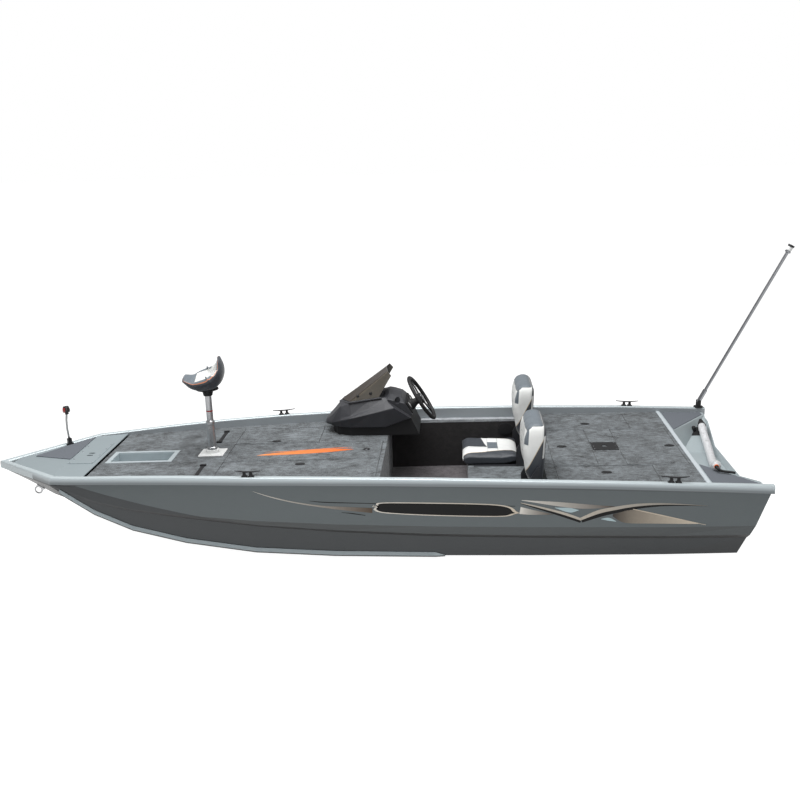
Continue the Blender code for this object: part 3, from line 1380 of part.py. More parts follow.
HULL = add_frame("hull_frame", None, (-LENGTH / 2, 0, -DRAFT))
FORE = add_frame(
    "fore_deck_frame", HULL, (FORE_BULKHEAD_X, 0, FORE_DECK_Z), (0, math.atan(FORE_DECK_SLOPE), 0)
)
AFT = add_frame("aft_deck_frame", HULL, (0, 0, AFT_DECK_Z))
NOSE_FRAME = add_frame("nose_frame", HULL, (SHOULDER_X, 0, BOW_PLATE_Z), (0, math.atan(NOSE_FALL), 0))
hull_skin()
gunwale()
for side in (1, -1):
    spray_rail(side)
keel_strip()
bow_plate()
bow_mat(NOSE_FRAME)
bow_eye()
fore_deck()
aft_deck()
deck_socket()
cockpit()
splashwell()
transom_mats()
for x, place_name in ((3.118, "bow"), (0.572, "stern")):
    for side, side_name in ((1, "port"), (-1, "starboard")):
        cleat(f"cleat_{place_name}_{side_name}", x, side)
rod_strap("rod_strap_port", 1)
rod_strap("rod_strap_starboard", -1)
bow_seat()
console()
steering()
windscreen()
for side in (1, -1):
    seat(side)
side_recess()
stern_light()
bow_light(NOSE_FRAME)
rigging()
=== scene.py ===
"""Bass boat: the finish of every surface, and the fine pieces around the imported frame."""

import logging
import math
from collections.abc import Callable
from dataclasses import dataclass
from enum import Enum

import bmesh
import bpy
import numpy as np
from mathutils import Matrix, Vector
from mathutils.bvhtree import BVHTree


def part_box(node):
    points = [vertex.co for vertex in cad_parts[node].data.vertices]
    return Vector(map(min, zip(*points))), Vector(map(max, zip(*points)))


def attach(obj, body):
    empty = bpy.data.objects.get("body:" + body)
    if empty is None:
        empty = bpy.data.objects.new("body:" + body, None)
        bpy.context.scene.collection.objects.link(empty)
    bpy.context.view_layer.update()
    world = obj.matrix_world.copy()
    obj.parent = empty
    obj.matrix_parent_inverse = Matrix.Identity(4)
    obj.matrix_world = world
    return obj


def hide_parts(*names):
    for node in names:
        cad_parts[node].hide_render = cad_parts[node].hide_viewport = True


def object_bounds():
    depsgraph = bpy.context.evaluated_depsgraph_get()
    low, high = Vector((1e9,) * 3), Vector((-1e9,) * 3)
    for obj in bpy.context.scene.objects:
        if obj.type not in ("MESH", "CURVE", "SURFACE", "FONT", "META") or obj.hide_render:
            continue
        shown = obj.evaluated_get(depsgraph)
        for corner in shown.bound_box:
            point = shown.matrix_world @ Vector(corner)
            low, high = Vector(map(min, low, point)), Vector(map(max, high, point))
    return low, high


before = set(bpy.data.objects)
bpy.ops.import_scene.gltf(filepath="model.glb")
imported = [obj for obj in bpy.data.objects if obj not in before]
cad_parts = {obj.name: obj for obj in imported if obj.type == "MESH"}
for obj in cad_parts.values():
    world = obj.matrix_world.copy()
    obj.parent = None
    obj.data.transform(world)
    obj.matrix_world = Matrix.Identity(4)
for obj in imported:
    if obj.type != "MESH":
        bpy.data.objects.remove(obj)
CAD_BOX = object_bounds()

logging.basicConfig(level=logging.INFO, format="%(message)s")
log = logging.getLogger("bass_boat")

Colour = tuple[float, float, float]
Place = tuple[float, float, float]
Profile = tuple[tuple[float, float], ...]

# Where the hull's frame starts: at the transom and the keel
STERN_X, KEEL_Z = -2.49, -0.16
# The fore deck and the nose plate fall toward the bow by these slopes
FORE_FALL, NOSE_FALL = 0.0165, 0.0778
# The fishing seat: its post along the fore deck, its height above it and its turn to port
POST_X, SEAT_HEIGHT, SEAT_TURN = 1.177, 0.4053, 11.0
# The steering wheel's slant, and how far above the dash it stands
WHEEL_SLANT, WHEEL_REACH = 31.2, 0.101
# The stern light's pole leans aft by this angle
POLE_LEAN = -28.0

# The helm seats' backs: how far they lean for each metre, the heights of their sewn channels, and the
# share of the half width that the channels take up
BACK_LEAN, BACK_CHANNELS, PAD_INNER = 0.0699, (0.085, 0.150, 0.215), 0.60

# Frames of the boat: the hull's, and those of its decks, nose, fishing seat, wheel, dash and pole
HULL = Matrix.Translation((STERN_X, 0.0, KEEL_Z))
FORE = HULL @ Matrix.Translation((2.32, 0.0, 0.5635)) @ Matrix.Rotation(math.atan(FORE_FALL), 4, "Y")
AFT = HULL @ Matrix.Translation((0.0, 0.0, 0.566))
NOSE = HULL @ Matrix.Translation((4.44, 0.0, 0.541)) @ Matrix.Rotation(math.atan(NOSE_FALL), 4, "Y")
FORE_TURN = FORE.to_quaternion().to_matrix().to_4x4()
POST = FORE @ Matrix.Translation((POST_X, 0.0, 0.0))
SWIVEL = Matrix.Rotation(math.radians(SEAT_TURN), 4, "Z")
FISHING = POST @ Matrix.Translation((0.0, 0.0, SEAT_HEIGHT)) @ SWIVEL
DASH_TURN = Matrix.Rotation(math.radians(WHEEL_SLANT - 90.0), 4, "Y")
WHEEL = Matrix.Translation((-0.40346, -0.5, 0.6302)) @ FORE_TURN @ DASH_TURN
DASH = WHEEL @ Matrix.Translation((0.0, 0.0, -WHEEL_REACH))
LIGHT_POLE = Matrix.Translation((-2.445, -0.8975, 0.47423)) @ Matrix.Rotation(math.radians(POLE_LEAN), 4, "Y")


def linear(red: float, green: float, blue: float) -> tuple[float, float, float, float]:
    """Turns a screen colour of 0 to 255 into the linear one that a shader takes.

    Args:
        red, green, blue: the screen colour's channels.

    Returns:
        The linear colour with an alpha of 1.
    """
    channels = np.array((red, green, blue), float) / 255.0
    low = channels / 12.92
    high = ((channels + 0.055) / 1.055) ** 2.4
    return (*np.where(channels <= 0.04045, low, high).tolist(), 1.0)


def placed(points: np.ndarray, matrix: Matrix) -> np.ndarray:
    """Moves points, in an array whose last axis is x, y and z, out of a frame."""
    turn = np.array(matrix)
    return np.asarray(points, float) @ turn[:3, :3].T + turn[:3, 3]


def deck_below(x: object, z: object) -> object:
    """How far a point lies below the fore deck's falling plane, from numbers or shader values."""
    return FORE.translation.z - (x - FORE.translation.x) * FORE_FALL - z


def catmull_rom(a: np.ndarray, b: np.ndarray, c: np.ndarray, d: np.ndarray,
                t: float | np.ndarray) -> np.ndarray:
    """The smooth curve from b to c at the share t of the way, with a and d as its neighbours."""
    return 0.5 * (2 * b + (c - a) * t + (2 * a - 5 * b + 4 * c - d) * t**2 + (3 * b - a - 3 * c + d) * t**3)


def with_neighbours(rows: np.ndarray) -> np.ndarray:
    """Adds a row before and after, in line with the first two and the last two."""
    return np.concatenate([[2 * rows[0] - rows[1]], rows, [2 * rows[-1] - rows[-2]]])


def spline(rows: list | tuple | np.ndarray, count: int) -> np.ndarray:
    """Samples a Catmull-Rom curve through rows of numbers.

    Args:
        rows: the rows that the curve passes.
        count: how many samples, evenly between the rows.

    Returns:
        An array of count rows.
    """
    rows = np.asarray(rows, float)
    around = with_neighbours(rows)
    along = np.linspace(0, len(rows) - 1, count)
    first = np.minimum(along.astype(int), len(rows) - 2)
    t = (along - first).reshape((-1,) + (1,) * (rows.ndim - 1))
    return catmull_rom(*(around[first + step] for step in range(4)), t)


def grid_mesh(name: str, points: np.ndarray, ring: bool = False, ends: bool = False,
              uv: np.ndarray | None = None) -> bpy.types.Mesh:
    """Makes a mesh of quads from a grid of points.

    Args:
        name: the mesh's name.
        points: rows of columns of x, y and z.
        ring: whether each row closes on itself.
        ends: whether the first and the last row are capped.
        uv: a pair for each point, kept as the mesh's UV map.

    Returns:
        The mesh, with its normals outward where it is closed.
    """
    rows, columns = points.shape[:2]
    index = np.arange(rows * columns).reshape(rows, columns)
    here = index if ring else index[:, :-1]
    beside = np.roll(index, -1, axis=1) if ring else index[:, 1:]
    faces = np.stack([here[:-1], beside[:-1], beside[1:], here[1:]], -1).reshape(-1, 4).tolist()
    if ends:
        faces += [index[0][::-1].tolist(), index[-1].tolist()]
    mesh = bpy.data.meshes.new(name)
    mesh.from_pydata(points.reshape(-1, 3).tolist(), [], faces)
    if uv is not None:
        layer = mesh.uv_layers.new(name="map")
        corners = np.empty(len(mesh.loops), dtype=np.int32)
        mesh.loops.foreach_get("vertex_index", corners)
        layer.data.foreach_set("uv", uv.reshape(-1, 2)[corners].astype(np.float32).ravel())
    if ends:
        face_outward(mesh)
    mesh.shade_smooth()
    return mesh


def face_outward(mesh: bpy.types.Mesh) -> None:
    """Turns the normals of a closed mesh outward."""
    work = bmesh.new()
    work.from_mesh(mesh)
    bmesh.ops.recalc_face_normals(work, faces=work.faces)
    work.to_mesh(mesh)
    work.free()


def joined(name: str, meshes: list[bpy.types.Mesh]) -> bpy.types.Mesh:
    """Joins meshes into one."""
    work = bmesh.new()
    for mesh in meshes:
        work.from_mesh(mesh)
    result = bpy.data.meshes.new(name)
    work.to_mesh(result)
    work.free()
    result.shade_smooth()
    return result


def lathe(name: str, profile: Profile | list[tuple[float, float]], matrix: Matrix, sides: int = 32,
          stretch: tuple[float, float] = (1.0, 1.0)) -> bpy.types.Mesh:
    """Turns a profile about the z axis.

    Args:
        name: the mesh's name.
        profile: radius and height of each ring, none of them on the axis.
        matrix: the frame that it stands in.
        sides: how many sides it has.
        stretch: factors along x and y, for an oval.

    Returns:
        The closed mesh.
    """
    turn = np.linspace(0.0, 2.0 * math.pi, sides, endpoint=False)
    radius, height = (np.array(column)[:, None] for column in zip(*profile))
    x = radius * np.cos(turn) * stretch[0]
    y = radius * np.sin(turn) * stretch[1]
    return grid_mesh(name, placed(np.stack([x, y, height + 0.0 * x], -1), matrix), ring=True, ends=True)


def tube(name: str, path: np.ndarray, radius: float | np.ndarray, sides: int = 20) -> bpy.types.Mesh:
    """Sweeps a circle along a path, its frame carried from point to point without twist.

    Args:
        name: the mesh's name.
        path: points in the frame.
        radius: one radius, or one for each point, or one for each point and side.
        sides: how many sides it has.

    Returns:
        The closed mesh.
    """
    path = np.asarray(path, float)
    along = np.gradient(path, axis=0)
    along /= np.linalg.norm(along, axis=1, keepdims=True)
    side = np.cross(along[0], (0.0, 0.0, 1.0))
    if np.linalg.norm(side) < 0.1:
        side = np.cross(along[0], (0.0, 1.0, 0.0))
    sides_of: list[np.ndarray] = []
    for way in along:
        side = side - way * (side @ way)
        side /= np.linalg.norm(side)
        sides_of.append(side.copy())
    first = np.array(sides_of)[:, None]
    second = np.cross(along, np.array(sides_of))[:, None]
    turn = np.linspace(0.0, 2.0 * math.pi, sides, endpoint=False)[None, :, None]
    size = np.asarray(radius, float)
    size = size.reshape(size.shape + (1,) * (3 - size.ndim)) if size.ndim else size
    points = path[:, None] + size * (first * np.cos(turn) + second * np.sin(turn))
    return grid_mesh(name, points, ring=True, ends=True)


def bar(name: str, start: tuple, end: tuple, width: float, height: float, matrix: Matrix) -> bpy.types.Mesh:
    """Makes a straight bar of a rectangular section between two points, its width level."""
    start, end = np.array(start, float), np.array(end, float)
    way = (end - start) / np.linalg.norm(end - start)
    side = np.cross(way, (0.0, 0.0, 1.0))
    side /= np.linalg.norm(side)
    up = np.cross(side, way)
    shape = [(-1, -1), (-1, 1), (1, 1), (1, -1)]
    section = np.array([side * a * width / 2 + up * b * height / 2 for a, b in shape])
    mesh = grid_mesh(name, placed(np.stack([start + section, end + section]), matrix), ring=True, ends=True)
    mesh.shade_flat()
    return mesh


class Value:
    """A number socket of a shader, on which arithmetic adds Math nodes."""

    def __init__(self, paint: "Paint", socket: bpy.types.NodeSocket) -> None:
        """Keeps the material that the socket is in and the socket."""
        self.paint = paint
        self.socket = socket

    def _math(self, operation: str, *terms: "Value | float", clamp: bool = False) -> "Value":
        """Adds a Math node.

        Args:
            operation: the Math node's operation.
            terms: its inputs in order.
            clamp: whether the result is held between 0 and 1.

        Returns:
            The node's result.
        """
        node = self.paint.node("ShaderNodeMath", {"operation": operation, "use_clamp": clamp}, list(terms))
        return Value(self.paint, node.outputs[0])

    def __add__(self, other: "Value | float") -> "Value":
        """self + other."""
        return self._math("ADD", self, other)

    def __radd__(self, other: float) -> "Value":
        """other + self."""
        return self._math("ADD", other, self)

    def __sub__(self, other: "Value | float") -> "Value":
        """self - other."""
        return self._math("SUBTRACT", self, other)

    def __rsub__(self, other: float) -> "Value":
        """other - self."""
        return self._math("SUBTRACT", other, self)

    def __mul__(self, other: "Value | float") -> "Value":
        """self * other."""
        return self._math("MULTIPLY", self, other)

    def __rmul__(self, other: float) -> "Value":
        """other * self."""
        return self._math("MULTIPLY", other, self)

    def __pow__(self, other: float) -> "Value":
        """self to the power other."""
        return self._math("POWER", self, other)

    def __gt__(self, other: "Value | float") -> "Value":
        """1 where self is above other, and 0 elsewhere."""
        return self._math("GREATER_THAN", self, other)

    def __lt__(self, other: "Value | float") -> "Value":
        """1 where self is below other, and 0 elsewhere."""
        return self._math("LESS_THAN", self, other)

    def __abs__(self) -> "Value":
        """The distance of self from 0."""
        return self._math("ABSOLUTE", self)

    def sine(self) -> "Value":
        """The sine of self."""
        return self._math("SINE", self)

    def clamped(self) -> "Value":
        """self held between 0 and 1."""
        return self._math("ADD", self, 0.0, clamp=True)

    def ramp(self, low: float, high: float) -> "Value":
        """Rises from 0 at low to 1 at high, and is flat beyond them."""
        return self._math("MULTIPLY", self - low, 1.0 / (high - low), clamp=True)


class Paint:
    """A material under construction: its nodes, and the Principled BSDF that they feed."""

    def __init__(self, name: str, **constants: object) -> None:
        """Makes the material.

        Args:
            name: the material's name.
            constants: values of the shader's sockets, by name with _ for a space.
        """
        self.material = bpy.data.materials.new(name)
        self.material.use_nodes = True
        self.tree = self.material.node_tree
        self.shader = self.tree.nodes["Principled BSDF"]
        for key, value in constants.items():
            self.shader.inputs[key.replace("_", " ")].default_value = value
        colour = constants.get("Base_Color", (0.5, 0.5, 0.5, 1.0))
        self.material.diffuse_color = colour

    def node(self, kind: str, settings: dict | None = None,
             values: dict | list | None = None) -> bpy.types.Node:
        """Adds a node.

        Args:
            kind: the node's type.
            settings: attributes that are set first.
            values: values or links of its sockets, by name or in order.

        Returns:
            The node.
        """
        made = self.tree.nodes.new(kind)
        for key, value in (settings or {}).items():
            setattr(made, key, value)
        pairs = values.items() if isinstance(values, dict) else enumerate(values or [])
        for key, value in pairs:
            self.feed(made.inputs[key], value)
        return made

    def feed(self, socket: bpy.types.NodeSocket, value: object) -> None:
        """Links a socket or sets its value.

        Args:
            socket: the input.
            value: a Value, another node's output, or a plain value.
        """
        if isinstance(value, Value):
            value = value.socket
        if isinstance(value, bpy.types.NodeSocket):
            self.tree.links.new(value, socket)
        elif value is not None:
            socket.default_value = value

    def place(self) -> bpy.types.NodeSocket:
        """The Object coordinates, in metres from the frame's origin."""
        return self.node("ShaderNodeTexCoord").outputs["Object"]

    def map(self) -> bpy.types.NodeSocket:
        """The piece's own UV map."""
        return self.node("ShaderNodeTexCoord").outputs["UV"]

    def facing(self) -> tuple[Value, Value, Value]:
        """The three parts of the surface's normal."""
        return self.parts(self.node("ShaderNodeNewGeometry").outputs["Normal"])

    def parts(self, vector: bpy.types.NodeSocket) -> tuple[Value, Value, Value]:
        """Splits a vector into its three numbers."""
        split = self.node("ShaderNodeSeparateXYZ", {}, [vector])
        return tuple(Value(self, output) for output in split.outputs)

    def scaled(self, vector: bpy.types.NodeSocket,
               factors: tuple[float, float, float]) -> bpy.types.NodeSocket:
        """Multiplies a vector by three factors."""
        return self.node("ShaderNodeVectorMath", {"operation": "MULTIPLY"}, [vector, factors]).outputs[0]

    def noise(self, vector: bpy.types.NodeSocket, scale: float, detail: float = 3.0,
              rough: float = 0.5) -> Value:
        """Fractal noise.

        Args:
            vector: where it is read.
            scale: waves to a metre.
            detail: octaves.
            rough: how much each octave keeps.

        Returns:
            The noise, around 0.5.
        """
        made = self.node("ShaderNodeTexNoise", {}, {"Vector": vector, "Scale": scale, "Detail": detail,
                                                    "Roughness": rough})
        return Value(self, made.outputs["Fac"])

    def cells(self, vector: bpy.types.NodeSocket, scale: float) -> Value:
        """Distance to the nearest of scattered points, scale of them to a metre."""
        made = self.node("ShaderNodeTexVoronoi", {}, {"Vector": vector, "Scale": scale})
        return Value(self, made.outputs["Distance"])

    def mix(self, mask: Value | float, first: object, second: object) -> bpy.types.NodeSocket:
        """Mixes two colours: the first where mask is 0, and the second where it is 1."""
        made = self.node("ShaderNodeMix", {"data_type": "RGBA", "clamp_factor": True})
        colours_in = [socket for socket in made.inputs if socket.type == "RGBA"]
        for socket, value in zip([made.inputs["Factor"], *colours_in], (mask, first, second)):
            self.feed(socket, value)
        return next(socket for socket in made.outputs if socket.type == "RGBA")

    def colour(self, value: object) -> "Paint":
        """Feeds the base colour."""
        self.feed(self.shader.inputs["Base Color"], value)
        return self

    def rough(self, value: Value) -> "Paint":
        """Feeds the roughness."""
        self.feed(self.shader.inputs["Roughness"], value)
        return self

    def bump(self, height: Value, depth: float) -> "Paint":
        """Feeds the normal from a height of 0 to 1 that stands for depth metres."""
        made = self.node("ShaderNodeBump", {}, {"Height": height, "Distance": depth, "Strength": 1.0})
        self.feed(self.shader.inputs["Normal"], made.outputs[0])
        return self


def shades(base: Colour, low: float, high: float) -> tuple[tuple, tuple]:
    """A screen colour's darker and lighter linear neighbours, by factors of its light."""
    made = linear(*base)
    return tuple([*(c * low for c in made[:3]), 1.0]), tuple([*(min(c * high, 1.0) for c in made[:3]), 1.0])


@dataclass(frozen=True)
class SatinPaint:
    """Paint on welded aluminium sheet: faintly mottled, with a fine orange peel."""

    name: str
    shade: Colour
    roughness: float = 0.38
    metallic: float = 0.25
    mottle: float = 0.06

    def drift(self, paint: Paint, where: bpy.types.NodeSocket) -> Value:
        """A share near a half that drifts by the mottle over a hand's width, with a fine fleck."""
        broad = (paint.noise(where, scale=5.0, detail=4.0) - 0.5) * (2.0 * self.mottle)
        return broad + paint.noise(where, scale=240.0, detail=2.0) * 0.05 + 0.475

    def tone(self, paint: Paint, where: bpy.types.NodeSocket) -> object:
        """The paint's colour, between its darker and lighter neighbours."""
        return paint.mix(self.drift(paint, where), *shades(self.shade, 0.82, 1.18))

    def material(self) -> bpy.types.Material:
        """Builds the paint."""
        paint = Paint(self.name, Metallic=self.metallic, Coat_Weight=0.2, Coat_Roughness=0.25)
        where = paint.place()
        paint.colour(self.tone(paint, where))
        paint.rough(paint.noise(where, scale=14.0, detail=3.0) * 0.14 + (self.roughness - 0.07))
        paint.bump(paint.noise(where, scale=320.0, detail=2.0), 0.00012)
        return paint.material


@dataclass(frozen=True)
class HullPaint(SatinPaint):
    """The hull's paint, with painted shade below its crease and on faces that look down, its own painted
    shade, paler than the side, on the faces toward the cockpit, and pale on the transom's ledges.
    """

    # Painted shade: the lower panel's colour below the crease, and the colours of faces that look down and of
    # faces toward the cockpit
    below: Colour = (57, 60, 62)
    downward_shade: Colour = (54, 54, 54)
    inboard_shade: Colour = (112, 118, 121)
    ledge: Colour = (182, 191, 194)
    crease_height: float = 0.096
    crease_bend: float = 6.0
    crease_start: float = -0.25
    ledge_reach: float = 0.60
    ledge_levels: tuple[float, float] = (0.10, 0.60)

    def tone(self, paint: Paint, where: bpy.types.NodeSocket) -> object:
        """The side's colour above the crease; painted shade below it, on faces that look down and on faces
        toward the cockpit; pale on the ledges.

        The crease's height is level aft of its start, and rises from there with the square of the length.
        """
        x, y, z = paint.parts(where)
        _, across, up = paint.facing()
        drift = self.drift(paint, where)
        side, low = (paint.mix(drift, *shades(shade, 0.88, 1.1)) for shade in (self.shade, self.below))
        along = (x - self.crease_start).ramp(0.0, 10.0)
        crease = along ** 2.0 * self.crease_bend + self.crease_height
        # Painted shade on the lower panel below the crease
        colour = paint.mix(z < crease, side, low)
        # Painted shade on faces that look down
        colour = paint.mix((-1.0 * up).ramp(0.3, 0.5), colour, linear(*self.downward_shade))
        # Painted shade on the faces toward the cockpit
        colour = paint.mix(across * y < -0.02, colour, linear(*self.inboard_shade))
        lowest, highest = self.ledge_levels
        ledge = (x < self.ledge_reach) * (z > lowest) * (up > 0.20) * (z < highest)
        return paint.mix(ledge, colour, linear(*self.ledge))


@dataclass(frozen=True)
class RailPaint(SatinPaint):
    """The gunwale's pale paint, with painted shade on the faces toward the cockpit and down the outer ones,
    and a painted shadow at the outer ones' foot.
    """

    # Painted shade on the faces toward the cockpit, down the outer face, and a painted shadow at its foot
    inner: Colour = (150, 156, 160)
    outer: Colour = (192, 202, 206)
    lower: Colour = (118, 125, 128)
    under: Colour = (70, 74, 76)
    sheer: tuple[float, float, float] = (0.46796, 0.0160, 0.01265)

    def tone(self, paint: Paint, where: bpy.types.NodeSocket) -> object:
        """The rail's colour, with painted shade inboard and down its outer face by the depth below its top,
        and a painted shadow at the face's foot.

        The top's height is the sheer: a level less a slope's part and a square's part of the length.
        """
        x, y, z = paint.parts(where)
        _, across, up = paint.facing()
        # Painted shade on the faces toward the cockpit
        inboard_shade_mask = (across * y < -0.25) * (up < 0.5)
        outward = (across * y > 0.25) * (up < 0.5)
        level, slope, square = self.sheer
        depth = level - x * slope - x * x * square - z
        drift = paint.noise(where, scale=5.0, detail=4.0)
        pale = paint.mix(drift, *shades(self.shade, 0.93, 1.05))
        # Painted shade down the outer face, and a painted shadow below it
        face = paint.mix(depth.ramp(0.010, 0.036), linear(*self.outer), linear(*self.lower))
        face = paint.mix(depth.ramp(0.044, 0.050), face, linear(*self.under))
        pale = paint.mix(outward, pale, face)
        return paint.mix(inboard_shade_mask, pale, linear(*self.inner))


@dataclass(frozen=True)
class EdgePaint(SatinPaint):
    """Paint on a ledge, with a painted highlight on its upper faces and painted shade on the others."""

    # Painted shade on the faces that don't look up
    dull: Colour = (82, 84, 84)

    def tone(self, paint: Paint, where: bpy.types.NodeSocket) -> object:
        """The painted highlight on faces that look up, and the painted shade elsewhere."""
        _, _, up = paint.facing()
        drift = paint.noise(where, scale=30.0, detail=3.0)
        pale = paint.mix(drift, *shades(self.shade, 0.92, 1.06))
        # Painted highlight on faces that look up, painted shade on the rest
        return paint.mix(up < 0.2, pale, linear(*self.dull))


@dataclass(frozen=True)
class SunkPaint(SatinPaint):
    """Paint on a recess: pale on its rim, and painted shade below it."""

    # Painted shade on the recess's floor
    floor: Colour = (168, 178, 182)
    depth: float = 0.006

    def tone(self, paint: Paint, where: bpy.types.NodeSocket) -> object:
        """The rim's colour, and the floor's painted shade where it lies below the fore deck by the depth."""
        x, _, z = paint.parts(where)
        drift = paint.noise(where, scale=20.0, detail=3.0)
        pale = paint.mix(drift, *shades(self.shade, 0.94, 1.05))
        sunk = paint.mix(drift, *shades(self.floor, 0.9, 1.1))
        # Painted shade where the recess sinks below the deck
        return paint.mix(deck_below(x, z) > self.depth, pale, sunk)


@dataclass(frozen=True)
class LoopCarpet:
    """Marine carpet: short matted pile in several threads of one shade."""

    name: str
    shade: Colour
    fleck: float = 0.5
    pile: float = 0.0016

    def pile_of(self, shade: Colour, paint: Paint, blend: Value) -> bpy.types.NodeSocket:
        """A pile's colour, between its darkest and its lightest threads."""
        return paint.mix(blend.clamped(), *shades(shade, 1.0 - self.fleck, 1.0 + self.fleck))

    def tone(self, paint: Paint, where: bpy.types.NodeSocket, blend: Value) -> object:
        """The carpet's colour, the same pile all over."""
        return self.pile_of(self.shade, paint, blend)

    def material(self) -> bpy.types.Material:
        """Builds the carpet: threads a few millimetres long, over patches as wide as a thumb and a hand."""
        paint = Paint(self.name, Roughness=0.95, Sheen_Weight=0.2, Sheen_Roughness=0.5)
        where = paint.place()
        threads = paint.noise(paint.scaled(where, (1.0, 0.55, 1.0)), scale=190.0, detail=5.0, rough=0.8)
        patches = paint.noise(paint.scaled(where, (0.7, 1.0, 1.0)), scale=30.0, detail=5.0, rough=0.75)
        broad = paint.noise(where, scale=7.0, detail=3.0)
        blend = (threads - 0.5) * 2.4 + (patches - 0.5) * 2.2 + (broad - 0.5) * 0.9 + 0.5
        paint.colour(self.tone(paint, where, blend))
        paint.bump(threads + paint.noise(where, scale=600.0, detail=2.0) * 0.6, self.pile)
        return paint.material


@dataclass(frozen=True)
class LinerCarpet(LoopCarpet):
    """Carpet on the cockpit's sides, dark below a pale band along its top."""

    band: Colour = (150, 154, 158)
    band_from: float = 0.372

    def tone(self, paint: Paint, where: bpy.types.NodeSocket, blend: Value) -> object:
        """The dark pile, and the pale one above the band's lower edge."""
        _, _, z = paint.parts(where)
        dark, pale = (self.pile_of(shade, paint, blend) for shade in (self.shade, self.band))
        return paint.mix(z > self.band_from, dark, pale)


@dataclass(frozen=True)
class GrainPlastic:
    """Moulded plastic with a fine leather grain."""

    name: str
    shade: Colour
    roughness: float = 0.5
    grain: float = 260.0
    depth: float = 0.0002

    def material(self) -> bpy.types.Material:
        """Builds the plastic: cells of grain, with the shade a little uneven."""
        paint = Paint(self.name, Specular_IOR_Level=0.45)
        where = paint.place()
        grain = paint.cells(where, self.grain)
        drift = paint.noise(where, scale=9.0, detail=3.0)
        paint.colour(paint.mix(drift * 0.7 + grain * 0.2, *shades(self.shade, 0.95, 1.2)))
        paint.rough(drift * 0.15 + (self.roughness - 0.07))
        paint.bump(grain, self.depth)
        return paint.material


@dataclass(frozen=True)
class BareMetal:
    """Aluminium or steel as it left the mill or the polisher."""

    name: str
    shade: Colour
    roughness: float = 0.3
    streak: tuple[float, float, float] = (1.0, 1.0, 1.0)

    def material(self) -> bpy.types.Material:
        """Builds the metal, its roughness streaked along the way that it was drawn."""
        paint = Paint(self.name, Metallic=1.0)
        where = paint.place()
        streaks = paint.noise(paint.scaled(where, self.streak), scale=160.0, detail=4.0, rough=0.6)
        paint.colour(paint.mix(streaks, *shades(self.shade, 0.75, 1.0)))
        paint.rough(streaks * 0.2 + (self.roughness - 0.1))
        paint.bump(streaks, 0.0001)
        return paint.material


@dataclass(frozen=True)
class RibbedMat:
    """Foam deck mat with shallow grooves along one way."""

    name: str
    shade: Colour
    pitch: float = 0.012

    def material(self) -> bpy.types.Material:
        """Builds the mat: the grooves are a sine wave across Y, with painted shade in their troughs."""
        paint = Paint(self.name, Roughness=0.85)
        where = paint.place()
        _, across, _ = paint.parts(where)
        grooves = (across * (2.0 * math.pi / self.pitch)).sine() * 0.5 + 0.5
        speck = paint.noise(where, scale=420.0, detail=3.0)
        # Painted shade in the grooves' troughs, with a fine speck
        paint.colour(paint.mix(grooves * 0.45 + speck * 0.5, *shades(self.shade, 0.72, 1.0)))
        paint.bump(grooves + speck * 0.5, 0.0008)
        return paint.material


@dataclass(frozen=True)
class TintedSheet:
    """Smoked acrylic sheet, seen through."""

    name: str
    shade: Colour
    # The wings' tint, painted paler for the light seen through them
    wing: Colour
    alpha: float = 0.75

    def material(self) -> bpy.types.Material:
        """Builds the acrylic: the tint drifts, and the wings at the sides are painted paler than the front,
        for the light seen through them.
        """
        paint = Paint(self.name, Roughness=0.06, IOR=1.49, Coat_Weight=0.5)
        drift = paint.noise(paint.place(), scale=6.0, detail=2.0)
        _, across, _ = paint.facing()
        front = paint.mix(drift, *shades(self.shade, 1.0, 1.5))
        wings = paint.mix(drift, *shades(self.wing, 0.9, 1.3))
        # Painted light: the side-facing wings take the paler tint
        paint.colour(paint.mix(abs(across) > 0.6, front, wings))
        paint.feed(paint.shader.inputs["Alpha"], drift * 0.1 + (self.alpha - 0.05))
        return paint.material


@dataclass(frozen=True)
class StripeFilm:
    """Cut film on the hull and the deck, in the tints that its mesh carries."""

    name: str

    def material(self) -> bpy.types.Material:
        """Builds the film: the tint with a faint print grain."""
        paint = Paint(self.name, Specular_IOR_Level=0.2)
        where = paint.place()
        tint = paint.node("ShaderNodeAttribute", {"attribute_name": "tint"}).outputs["Color"]
        grain = paint.noise(where, scale=60.0, detail=4.0)
        paint.colour(paint.mix(grain * 0.16, tint, (0.0, 0.0, 0.0, 1.0)))
        paint.rough(grain * 0.1 + 0.3)
        return paint.material


@dataclass(frozen=True)
class WrinkledFilm:
    """Clear-white wrapping film round a hose, creased along its turns."""

    name: str
    shade: Colour

    def material(self) -> bpy.types.Material:
        """Builds the film: creases at a slant, painted darker in their troughs as shade and lighter on their
        ridges as highlight.
        """
        paint = Paint(self.name, Specular_IOR_Level=0.7, Coat_Weight=0.4, Coat_Roughness=0.2)
        where = paint.place()
        creases = paint.noise(paint.scaled(where, (1.0, 0.35, 1.6)), scale=46.0, detail=5.0, rough=0.7)
        fine = paint.noise(where, scale=190.0, detail=3.0)
        # Painted shade in the creases' troughs and painted highlight on their ridges
        paint.colour(paint.mix(creases * 1.6 - 0.35, *shades(self.shade, 0.62, 1.08)))
        paint.rough(creases * 0.4 + 0.12)
        paint.bump(creases + fine * 0.3, 0.004)
        return paint.material


